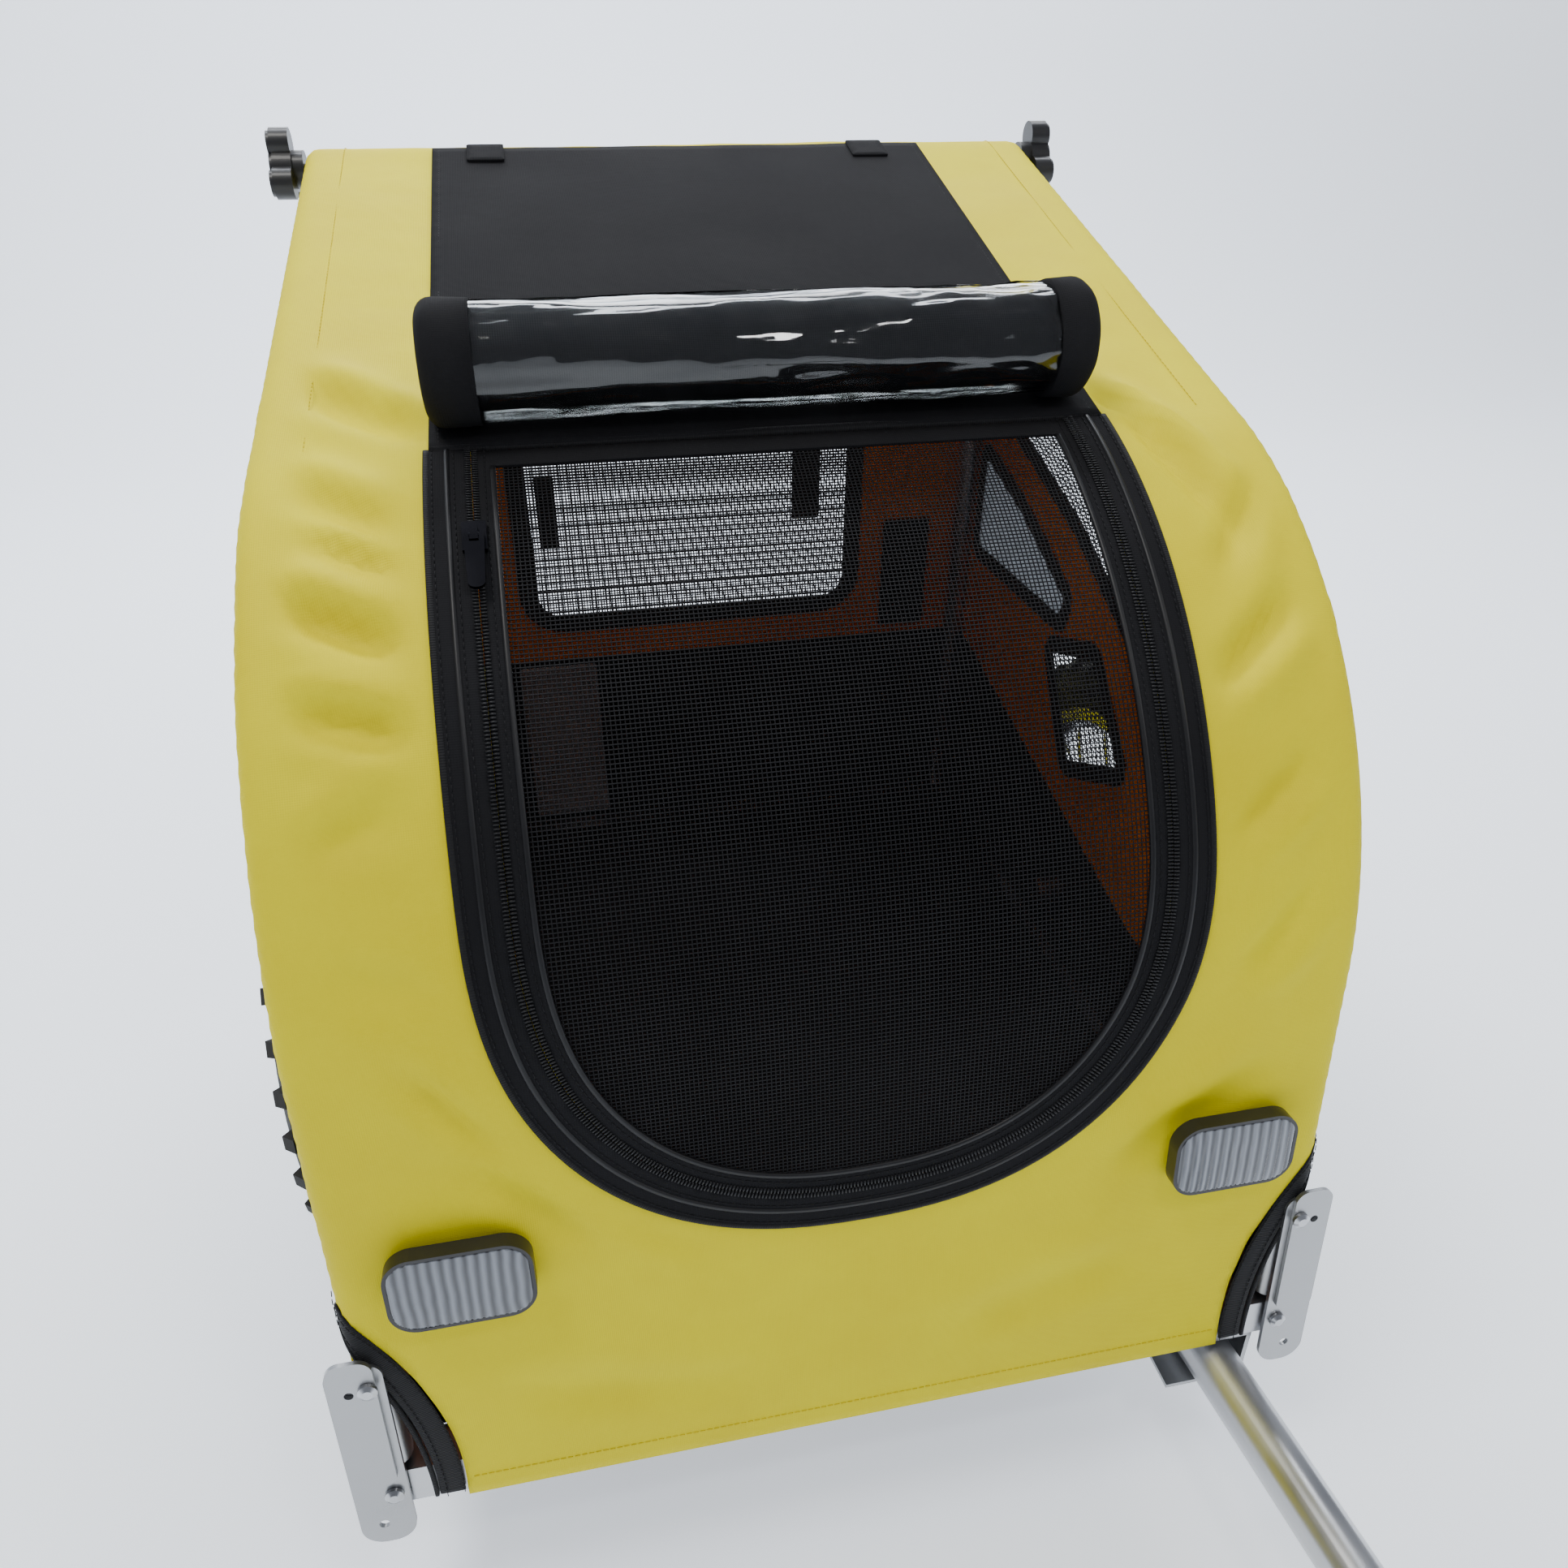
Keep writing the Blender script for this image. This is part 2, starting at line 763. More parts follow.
def inside(points: np.ndarray, outline: Sequence[Point2]) -> np.ndarray:
    """Finds which points lie inside a closed outline, by the even-odd rule.

    Args:
        points: (n, 2) array of points.
        outline: the outline.

    Returns:
        One truth value for each point.
    """
    poly = np.array(outline)
    nxt = np.roll(poly, -1, 0)
    found = np.zeros(len(points), bool)
    for (x0, y0), (x1, y1) in zip(poly, nxt):
        if y0 == y1:
            continue
        k = (points[:, 1] < y0) != (points[:, 1] < y1)
        found ^= k & (points[:, 0] < x0 + (points[:, 1] - y0) * (x1 - x0) / (y1 - y0))
    return found


def grown(points: Sequence[Point2], amount: float) -> Outline:
    """Moves a closed outline outwards along its own normals.

    Args:
        points: the outline.
        amount: how far, less than 0 for inwards.

    Returns:
        The moved outline.
    """
    p = np.array(points, float)
    along = np.roll(p, -1, 0) - np.roll(p, 1, 0)
    along /= np.linalg.norm(along, axis=1)[:, None] + 1e-12
    area = np.sum(p[:, 0] * np.roll(p[:, 1], -1) - np.roll(p[:, 0], -1) * p[:, 1])
    out = np.stack([along[:, 1], -along[:, 0]], 1) * (1 if area > 0 else -1)
    return [tuple(v) for v in p + out * amount]


# ---------------------------------------------------------------- meshes


def make_object(
    name: str, verts: Sequence, faces: Sequence, finish: Finish, uvs: Sequence | None = None,
    smooth: bool = True,
) -> bpy.types.Object:
    """Makes a mesh object from lists.

    Args:
        name: the piece's name.
        verts: points in metres, in the row frame.
        faces: lists of point numbers, facing outwards.
        finish: its finish.
        uvs: one pair for each point, or None.
        smooth: whether faces are shaded smooth.

    Returns:
        The object.
    """
    mesh = bpy.data.meshes.new(name)
    mesh.from_pydata([tuple(v) for v in verts], [], [tuple(int(i) for i in f) for f in faces])
    if uvs is not None:
        layer = mesh.uv_layers.new(name="UVMap")
        index = np.empty(len(mesh.loops), np.int64)
        mesh.loops.foreach_get("vertex_index", index)
        layer.data.foreach_set("uv", np.asarray(uvs, np.float32)[index].ravel())
    mesh.materials.append(finish.material())
    mesh.polygons.foreach_set("use_smooth", [smooth] * len(mesh.polygons))
    mesh.update()
    obj = bpy.data.objects.new(name, mesh)
    bpy.context.scene.collection.objects.link(obj)
    return obj


@dataclass
class ClothCut:
    """A piece of cloth cut to an outline, with holes, and laid on a surface."""

    name: str
    outline: Outline
    surface: Surface
    finish: Finish
    holes: list[Outline] = field(default_factory=list)
    thickness: float = 0.9 * MM
    lift: float = 0.0
    step: float = 7.0 * MM
    relief: Callable[[np.ndarray, np.ndarray], np.ndarray] | None = None
    back: Finish | None = None
    area: float = field(init=False, default=0.0)
    flat: Point2 = field(init=False, default=(0.0, 0.0))

    def build(self) -> bpy.types.Object:
        """Cuts, lays and thickens the cloth, with UVs in metres along its own threads."""
        rings = [dense(self.outline, self.step)] + [dense(h, self.step) for h in self.holes]
        border = np.array([p for ring in rings for p in ring])
        low, high = border.min(0), border.max(0)
        self.flat = (float(high[0] - low[0]), float(high[1] - low[1]))
        xs = np.arange(low[0], high[0] + self.step, self.step)
        ys = np.arange(low[1], high[1] + self.step * 0.87, self.step * 0.87)
        grid = np.array([(x + (self.step / 2 if j % 2 else 0), y) for j, y in enumerate(ys) for x in xs])
        grid = grid[self._within(grid)]
        gap = np.full(len(grid), np.inf)
        for i in range(0, len(border), 64):
            block = border[i : i + 64]
            gap = np.minimum(gap, np.linalg.norm(grid[:, None] - block[None], axis=2).min(1))
        grid = grid[gap > 0.45 * self.step]
        points = np.concatenate([border, grid])
        edges, start = [], 0
        for ring in rings:
            count = len(ring)
            edges += [(start + i, start + (i + 1) % count) for i in range(count)]
            start += count
        done = delaunay_2d_cdt([Vector(p) for p in points], edges, [], 0, 1e-7)
        flat = np.array([tuple(v) for v in done[0]])
        tris = np.array([f for f in done[2] if len(f) == 3])
        tris = tris[self._within(flat[tris].mean(1))]
        used = np.unique(tris)
        lookup = np.full(len(flat), -1)
        lookup[used] = np.arange(len(used))
        flat, tris = flat[used], lookup[tris]
        a, b, c = (flat[tris[:, k]] for k in range(3))
        signed = (b[:, 0] - a[:, 0]) * (c[:, 1] - a[:, 1]) - (c[:, 0] - a[:, 0]) * (b[:, 1] - a[:, 1])
        tris[signed < 0] = tris[signed < 0][:, ::-1]
        self.area = float(np.abs(signed).sum() / 2)
        place, normal = self.surface(flat[:, 0], flat[:, 1])
        height = np.full(len(flat), self.lift)
        if self.relief:
            height = height + self.relief(flat[:, 0], flat[:, 1])
        top = place + normal * height[:, None]
        under = top - normal * self.thickness
        face = np.cross(top[tris[:, 1]] - top[tris[:, 0]], top[tris[:, 2]] - top[tris[:, 0]])
        if (face * normal[tris[:, 0]]).sum() < 0:
            tris = tris[:, ::-1]
        count = len(flat)
        sides: dict[tuple[int, int], int] = {}
        for t in tris:
            for i in range(3):
                key = (int(t[i]), int(t[(i + 1) % 3]))
                sides[key] = sides.get(key, 0) + 1
        rim = [(j, i, i + count, j + count) for i, j in sides if (j, i) not in sides]
        faces = [tuple(t) for t in tris] + [tuple(t[::-1] + count) for t in tris] + rim
        obj = make_object(
            self.name, np.concatenate([top, under]), faces, self.finish, np.concatenate([flat, flat]),
        )
        obj.data.polygons.foreach_set(
            "use_smooth", [True] * (2 * len(tris)) + [False] * len(rim)
        )
        if self.back:
            obj.data.materials.append(self.back.material())
            obj.data.polygons.foreach_set(
                "material_index", [0] * len(tris) + [1] * len(tris) + [0] * len(rim)
            )
        obj.data.update()
        return obj

    def _within(self, points: np.ndarray) -> np.ndarray:
        """Finds which points lie on the cloth and in none of its holes."""
        found = inside(points, self.outline)
        for hole in self.holes:
            found &= ~inside(points, hole)
        return found


@dataclass
class Strip:
    """A tape, binding or welt laid along a line on a surface, with a rounded section."""

    name: str
    line: Outline
    surface: Surface
    finish: Finish
    width: float
    height: float
    sink: float = 0.4 * MM
    closed: bool = False

    def build(self) -> bpy.types.Object:
        """Sweeps the section along the line, and closes both ends."""
        p = np.array(self.line, float)
        if self.closed:
            along = np.roll(p, -1, 0) - np.roll(p, 1, 0)
        else:
            along = np.gradient(p, axis=0)
        along /= np.linalg.norm(along, axis=1)[:, None] + 1e-12
        across = np.stack([-along[:, 1], along[:, 0]], 1)
        half = self.width / 2
        section = [
            (-half, -self.sink),
            (half, -self.sink),
            (half, self.height * 0.45),
            (half * 0.82, self.height * 0.9),
            (0.0, self.height),
            (-half * 0.82, self.height * 0.9),
            (-half, self.height * 0.45),
        ]
        run = np.concatenate([[0], np.cumsum(np.linalg.norm(np.diff(p, axis=0), axis=1))])
        verts, uvs, width = [], [], len(section)
        for off, high in section:
            q = p + across * off
            place, normal = self.surface(q[:, 0], q[:, 1])
            verts.append(place + normal * high)
            uvs.append(np.stack([run, np.full(len(run), off)], 1))
        count = len(p)
        points = np.stack(verts, 1).reshape(-1, 3)
        flat = np.stack(uvs, 1).reshape(-1, 2)
        faces = []
        for i in range(count if self.closed else count - 1):
            j = (i + 1) % count
            for k in range(width):
                m = (k + 1) % width
                faces.append((i * width + k, i * width + m, j * width + m, j * width + k))
        if not self.closed:
            faces.append(tuple(range(width))[::-1])
            faces.append(tuple((count - 1) * width + k for k in range(width)))
        obj = make_object(self.name, points, faces, self.finish, flat)
        recalc(obj)
        return obj


def recalc(obj: bpy.types.Object) -> None:
    """Turns the faces of a closed mesh outwards."""
    bm = bmesh.new()
    bm.from_mesh(obj.data)
    bmesh.ops.recalc_face_normals(bm, faces=bm.faces)
    bm.to_mesh(obj.data)
    bm.free()


def join(name: str, parts: Sequence[bpy.types.Object]) -> bpy.types.Object:
    """Joins mesh objects into one, keeping their materials and UVs.

    Args:
        name: the joined piece's name.
        parts: the objects to join.

    Returns:
        The joined object.
    """
    first = parts[0]
    if len(parts) > 1:
        with bpy.context.temp_override(
            active_object=first,
            object=first,
            selected_objects=list(parts),
            selected_editable_objects=list(parts),
        ):
            bpy.ops.object.join()
    first.name = name
    first.data.name = name
    return first


@dataclass
class Net:
    """Open fly net: two sets of square yarns inside an outline."""

    name: str
    outline: Outline
    surface: Surface
    pitch: float = 2.6 * MM
    yarn: float = 0.85 * MM
    depth: float = 0.3 * MM
    lift: float = 0.0
    step: float = 9.0 * MM
    relief: Callable[[np.ndarray, np.ndarray], np.ndarray] | None = None

    def build(self) -> bpy.types.Object:
        """Lays every yarn across the outline, one set just over the other."""
        verts, faces, uvs, start = [], [], [], 0
        poly = np.array(self.outline)
        for axis in (0, 1):
            low, high = poly[:, axis].min(), poly[:, axis].max()
            count = int((high - low) / self.pitch)
            for k in range(count):
                fixed = low + (k + 0.5) * self.pitch
                for a, b in self._crossings(poly, axis, fixed):
                    parts = max(1, math.ceil((b - a) / self.step))
                    run = np.linspace(a, b, parts + 1)
                    start = self._yarn(axis, fixed, run, verts, faces, uvs, start)
        return make_object(
            self.name, np.concatenate(verts), faces, Finish.NET, np.concatenate(uvs)
        )

    @staticmethod
    def _crossings(poly: np.ndarray, axis: int, fixed: float) -> list[Point2]:
        """Finds where one yarn enters and leaves the outline.

        Args:
            poly: the outline's points.
            axis: 0 for a yarn along the cloth, 1 for one across it.
            fixed: the yarn's place on that axis.

        Returns:
            Start and end of each stretch longer than 2 mm.
        """
        nxt = np.roll(poly, -1, 0)
        a, b = poly[:, axis], nxt[:, axis]
        k = (a < fixed) != (b < fixed)
        t = (fixed - a[k]) / (b[k] - a[k])
        hits = np.sort(poly[k, 1 - axis] + t * (nxt[k, 1 - axis] - poly[k, 1 - axis]))
        return [(hits[i], hits[i + 1]) for i in range(0, len(hits) - 1, 2) if hits[i + 1] - hits[i] > 2 * MM]

    def _yarn(
        self, axis: int, fixed: float, run: np.ndarray, verts: list, faces: list, uvs: list, start: int,
    ) -> int:
        """Adds one yarn's points and faces to the lists.

        Args:
            axis: 0 for a yarn along the cloth, 1 for one across it.
            fixed: the yarn's place on that axis.
            run: places along the yarn.
            verts: the list of points.
            faces: the list of faces.
            uvs: the list of UV pairs.
            start: number of the yarn's first point.

        Returns:
            The number of the next yarn's first point.
        """
        count = len(run)
        base = self.lift + (self.depth * 0.5 if axis else 0.0)
        for off, high in ((-0.5, 0.0), (0.5, 0.0), (0.5, 1.0), (-0.5, 1.0)):
            across = np.full(count, fixed + off * self.yarn)
            u, v = (across, run) if axis == 0 else (run, across)
            place, normal = self.surface(u, v)
            rise = np.full(count, base + high * self.depth)
            if self.relief:
                rise = rise + self.relief(u, v)
            verts.append(place + normal * rise[:, None])
            uvs.append(np.stack([u, v], 1))
        for i in range(count - 1):
            for k in range(4):
                m = (k + 1) % 4
                quad = (
                    start + k * count + i, start + m * count + i, start + m * count + i + 1,
                    start + k * count + i + 1,
                )
                faces.append(quad if axis == 1 else quad[::-1])
        for i, turn in ((0, 1), (count - 1, -1)):
            cap = tuple(start + k * count + i for k in range(4))
            faces.append(cap[:: -turn if axis == 1 else turn])
        return start + 4 * count


def bars_tree() -> bpy.types.NodeTree:
    """Node tree that lays short round bars along a line: stitches along it, or teeth across it."""
    found = bpy.data.node_groups.get("bars_on_line")
    if found:
        return found
    tree = bpy.data.node_groups.new("bars_on_line", "GeometryNodeTree")
    face = tree.interface
    face.new_socket("Line", in_out="INPUT", socket_type="NodeSocketGeometry")
    for name, size in (("Pitch", 3.0 * MM), ("Length", 2.2 * MM), ("Thickness", 0.5 * MM)):
        face.new_socket(name, in_out="INPUT", socket_type="NodeSocketFloat").default_value = size
    face.new_socket("Along", in_out="INPUT", socket_type="NodeSocketBool").default_value = True
    face.new_socket("Finish", in_out="INPUT", socket_type="NodeSocketMaterial")
    face.new_socket("Bars", in_out="OUTPUT", socket_type="NodeSocketGeometry")
    given = add_node(tree, "NodeGroupInput").outputs
    curve = add_node(tree, "GeometryNodeMeshToCurve", Mesh=given["Line"])
    spaced = add_node(
        tree, "GeometryNodeResampleCurve", {"mode": "LENGTH"}, Curve=curve.outputs[0], Length=given["Pitch"]
    )
    radius = add_node(tree, "ShaderNodeMath", {"operation": "MULTIPLY"}, in0=given["Thickness"], in1=0.5)
    bar = add_node(
        tree, "GeometryNodeMeshCylinder", Vertices=6, Radius=radius.outputs[0], Depth=given["Length"]
    )
    across = add_node(tree, "GeometryNodeInputNamedAttribute", {"data_type": "FLOAT_VECTOR"}, Name="across")
    tangent = add_node(tree, "GeometryNodeInputTangent")
    pick = add_node(tree, "GeometryNodeSwitch", {"input_type": "VECTOR"}, Switch=given["Along"])
    tree.links.new(across.outputs[0], pick.inputs[1])
    tree.links.new(tangent.outputs[0], pick.inputs[2])
    turn = add_node(tree, "FunctionNodeAlignRotationToVector", {"axis": "Z"}, Vector=pick.outputs[0])
    placed = add_node(
        tree,
        "GeometryNodeInstanceOnPoints",
        Points=spaced.outputs[0],
        Instance=bar.outputs[0],
        Rotation=turn.outputs[0],
    )
    real = add_node(tree, "GeometryNodeRealizeInstances", Geometry=placed.outputs[0])
    dressed = add_node(tree, "GeometryNodeSetMaterial", Geometry=real.outputs[0], Material=given["Finish"])
    add_node(tree, "NodeGroupOutput", Bars=dressed.outputs[0])
    return tree


@dataclass
class BarRow:
    """Stitches or zip teeth along a line on a surface, made by the bars_on_line tree."""

    name: str
    line: Outline
    surface: Surface
    finish: Finish
    pitch: float = 4.0 * MM
    length: float = 3.0 * MM
    thickness: float = 0.55 * MM
    lift: float = 0.25 * MM
    along: bool = True
    closed: bool = False

    def build(self) -> bpy.types.Object:
        """Runs the tree on the line and keeps the result as a plain mesh."""
        p = np.array(self.line, float)
        place, normal = self.surface(p[:, 0], p[:, 1])
        place = place + normal * self.lift
        count = len(p)
        edges = [(i, (i + 1) % count) for i in range(count if self.closed else count - 1)]
        mesh = bpy.data.meshes.new(self.name)
        mesh.from_pydata([tuple(v) for v in place], edges, [])
        tangent = np.gradient(place, axis=0)
        across = np.cross(tangent, normal)
        across /= np.linalg.norm(across, axis=1)[:, None] + 1e-12
        layer = mesh.attributes.new("across", "FLOAT_VECTOR", "POINT")
        layer.data.foreach_set("vector", across.astype(np.float32).ravel())
        source = bpy.data.objects.new(self.name + "_line", mesh)
        bpy.context.scene.collection.objects.link(source)
        tree = bars_tree()
        modifier = source.modifiers.new("bars", "NODES")
        modifier.node_group = tree
        values = {
            "Pitch": self.pitch,
            "Length": self.length,
            "Thickness": self.thickness,
            "Along": self.along,
            "Finish": self.finish.material(),
        }
        for item in tree.interface.items_tree:
            if item.item_type == "SOCKET" and item.in_out == "INPUT" and item.name in values:
                modifier[item.identifier] = values[item.name]
        graph = bpy.context.evaluated_depsgraph_get()
        result = bpy.data.meshes.new_from_object(source.evaluated_get(graph), depsgraph=graph)
        result.name = self.name
        for old in list(result.attributes):
            if old.name == "across":
                result.attributes.remove(old)
        bpy.data.objects.remove(source, do_unlink=True)
        obj = bpy.data.objects.new(self.name, result)
        bpy.context.scene.collection.objects.link(obj)
        if not result.materials:
            result.materials.append(self.finish.material())
        obj.data.polygons.foreach_set("use_smooth", [True] * len(obj.data.polygons))
        return obj


# ---------------------------------------------------------------- cloth relief


def smooth_step(value: np.ndarray, low: float, high: float) -> np.ndarray:
    """Rises smoothly from 0 at low to 1 at high."""
    t = np.clip((value - low) / (high - low), 0, 1)
    return t * t * (3 - 2 * t)


def noise_field(u: np.ndarray, v: np.ndarray, size: float, seed: float) -> np.ndarray:
    """Smooth noise from -1 to 1 with features of a given size in metres."""
    return np.array([noise.noise(Vector((a / size, b / size, seed))) for a, b in zip(u, v)])


@dataclass(frozen=True)
class Crease:
    """One fold of the cloth: a valley along a line, with a soft swelling beside it.

    Sizes are in millimetres; the ends are places across and along the cloth.
    """

    start: Point2
    end: Point2
    depth: float
    width: float

    def height(self, u: np.ndarray, v: np.ndarray) -> np.ndarray:
        """Works out the fold's height at each point.

        Args:
            u: distances across the cloth.
            v: distances along it.

        Returns:
            Heights in metres.
        """
        a, b = np.array(self.start) * MM, np.array(self.end) * MM
        along = b - a
        length = np.linalg.norm(along)
        along /= length
        du, dv = u - a[0], v - a[1]
        t = (du * along[0] + dv * along[1]) / length
        off = (-du * along[1] + dv * along[0]) / (self.width * MM)
        fade = smooth_step(t, -0.25, 0.3) * (1 - smooth_step(t, 0.7, 1.25))
        shape = (
            -np.exp(-(off**2)) + 0.75 * np.exp(-((off - 1.5) ** 2) / 1.2) + 0.3 * np.exp(-((off + 1.6) ** 2))
        )
        return self.depth * MM * fade * shape


# ---------------------------------------------------------------- the door opening's shape


@dataclass(frozen=True)
class DoorShape:
    """Outline of the door: straight at its sides and a flattened round below."""

    half: float = 190.0 * MM
    sill: float = 267.0 * MM
    top: float = 642.0 * MM
    round_start: float = 166.0 * MM
    squareness: float = 2.35
    zip_inset: float = 24.0 * MM
    mesh_inset: float = 36.0 * MM
    parts: int = 40

    def outline(self, inset: float, top: float | None = None) -> Outline:
        """Makes the closed outline at an inset from the border's outer edge.

        Args:
            inset: how far inside that edge.
            top: height of its straight top, or None for the seam's own.

        Returns:
            Points across and along the cloth.
        """
        run = self.open_line(inset, top)
        return dense(run, 12 * MM)

    def open_line(self, inset: float, top: float | None = None) -> Outline:
        """Makes the same line, open at its top, from the left side round to the right.

        Args:
            inset: how far inside the border's outer edge.
            top: height where it starts and ends, or None for the seam's own.

        Returns:
            Points across and along the cloth.
        """
        a = self.half - inset
        zc = self.top - self.round_start
        b = zc - self.sill - inset
        angles = np.linspace(0, math.pi / 2, self.parts)
        power = 2 / self.squareness
        x = a * np.cos(angles) ** power
        z = zc - b * np.sin(angles) ** power
        s = LINE.s_front(z)
        side = [(a, float(v)) for v in np.linspace(float(LINE.s_front(top or self.top)), s[0], 24)[:-1]]
        right = list(zip(x.tolist(), s.tolist()))
        left = [(-p, q) for p, q in reversed(right[:-1])]
        return side + right + left + [(-p, q) for p, q in reversed(side)]


DOOR = DoorShape()


@dataclass
class Kit:
    """Collects finished pieces and says each one's body, nodes and slot."""

    made: list[bpy.types.Object] = field(default_factory=list)

    def add(
        self, obj: bpy.types.Object, body: str, slot: str, replaces: Sequence[str] = (),
    ) -> bpy.types.Object:
        """Makes a piece ride on its body and reports it.

        Args:
            obj: the finished piece.
            body: the body that it moves with.
            slot: the record's material slot.
            replaces: the CAD nodes that it stands for.

        Returns:
            The piece.
        """
        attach(obj, body)
        if replaces:
            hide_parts(*replaces)
        self.made.append(obj)
        LOG.info("%s on %s: %d faces", obj.name, body, len(obj.data.polygons))
        return obj

    def cloth(
        self, cut: ClothCut, body: str, slot: str, replaces: Sequence[str] = ()
    ) -> bpy.types.Object:
        """Builds a cut cloth, adds it and declares its flat size.

        Args:
            cut: the cloth to build.
            body: the body that it moves with.
            slot: the record's material slot.
            replaces: the CAD nodes that it stands for.

        Returns:
            The piece.
        """
        obj = self.add(cut.build(), body, slot, replaces)
        return obj


# ---------------------------------------------------------------- sub-assemblies


@dataclass
class YellowCover:
    """The one yellow cover over front, roof and rear, with the black wall below it at the rear."""

    hem: float = 14.0 * MM
    wall_top: float = 322.0 * MM
    scallop_width: float = 14.0 * MM
    window_half: float = 158.0 * MM
    window_low: float = 368.0 * MM
    window_high: float = 660.0 * MM
    roof_seam: float = 30.0 * MM
    wall_seam_half: float = 255.0 * MM
    hoop_line: float = 268.0 * MM  # where the cloth lies tight on a hoop
    valley_end: float = 262.0 * MM  # no fold dips beyond this, or the hoop would show through
    cut_heights: Point3 = (253.0 * MM, 192.0 * MM, 102.0 * MM)
    cut_insets: Point3 = (-6.0 * MM, 22.0 * MM, 33.0 * MM)
    creases: tuple[Crease, ...] = (
        Crease((-264, 527), (-206, 496), 12.0, 9.5),
        Crease((-258, 470), (-200, 452), 10.0, 9.0),
        Crease((-262, 604), (-200, 560), 7.0, 11.0),
        Crease((-264, 700), (-194, 640), 8.0, 12.0),
        Crease((-255, 400), (-210, 420), 5.5, 11.0),
        Crease((-244, 560), (-200, 534), 6.0, 7.0),
        Crease((-250, 345), (-206, 330), 4.0, 13.0),
        Crease((264, 490), (194, 434), 9.5, 10.0),
        Crease((200, 634), (232, 530), 8.0, 11.0),
        Crease((252, 398), (194, 352), 7.0, 10.0),
        Crease((194, 662), (214, 584), 6.0, 8.0),
        Crease((258, 560), (222, 505), 5.5, 9.0),
        Crease((252, 330), (212, 282), 5.5, 11.0),
        Crease((-222, 290), (-184, 236), 6.5, 8.5),
        Crease((-142, 200), (-92, 158), 6.0, 8.5),
        Crease((-205, 235), (-150, 178), 4.5, 9.0),
        Crease((150, 168), (225, 215), 4.5, 12.0),
        Crease((60, 60), (160, 92), 3.4, 16.0),
        Crease((-190, 72), (-80, 46), 3.2, 16.0),
    )

    @property
    def edge(self) -> float:
        """How far the cloth reaches from its middle, round the hoop and down the side."""
        return HALF - HOOP_CENTRE + HOOP_BEND * math.pi / 2 + self.hem

    def scallop(self, grow: float) -> Outline:
        """Curves the cut-out beside the corner plates, from the hem up to the side.

        Args:
            grow: how far the curve is moved away from the plates.

        Returns:
            Points across and along the cloth.
        """
        high, middle, low = self.cut_heights
        a = np.array([HALF - self.cut_insets[0], high + grow])
        b = np.array([HALF - self.cut_insets[1] - grow, middle + 0.5 * grow])
        c = np.array([HALF - self.cut_insets[2] - grow, low])
        d = 2 * (a[0] * (b[1] - c[1]) + b[0] * (c[1] - a[1]) + c[0] * (a[1] - b[1]))
        sq = [float(v @ v) for v in (a, b, c)]
        centre = np.array(
            [
                (sq[0] * (b[1] - c[1]) + sq[1] * (c[1] - a[1]) + sq[2] * (a[1] - b[1])) / d,
                (sq[0] * (c[0] - b[0]) + sq[1] * (a[0] - c[0]) + sq[2] * (b[0] - a[0])) / d,
            ]
        )
        radius = np.linalg.norm(a - centre)
        t0, t1 = (math.atan2(*(p - centre)[::-1]) % (2 * math.pi) for p in (c, a))
        angles = np.linspace(t0, t1, 26)
        points = centre + radius * np.stack([np.cos(angles), np.sin(angles)], 1)
        points = points[points[:, 1] > LINE.rail_height + 1 * MM]
        s = LINE.s_front(points[:, 1])
        return list(zip(points[:, 0].tolist(), s.tolist()))

    def relief(self, u: np.ndarray, s: np.ndarray) -> np.ndarray:
        """Soft waves and folds, flat at the hoops, the hem and the door's tape.

        Args:
            u: distances across the cloth.
            s: distances along the side line.

        Returns:
            Heights above the smooth cover.
        """
        ring = np.array(DOOR.outline(-4 * MM))
        gap = np.full(len(u), np.inf)
        points = np.stack([u, s], 1)
        for i in range(0, len(ring), 40):
            block = ring[i : i + 40]
            gap = np.minimum(gap, np.linalg.norm(points[:, None] - block[None], axis=2).min(1))
        gap = np.where(inside(points, DOOR.outline(-5 * MM)), 0.0, gap)
        free = smooth_step(gap, 0.0, 26 * MM) * smooth_step(np.abs(np.abs(u) - self.hoop_line), 0.0, 26 * MM)
        free *= smooth_step(s, 18 * MM, 60 * MM)
        height = 1.3 * MM * noise_field(u, s, 75 * MM, 3.7) + 0.6 * MM * noise_field(u, s * 1.6, 30 * MM, 9.2)
        for crease in self.creases:
            height += crease.height(u, s)
        inner = np.where(height < 0, smooth_step(self.valley_end - np.abs(u), 0.0, 22 * MM), 1.0)
        return height * free * inner

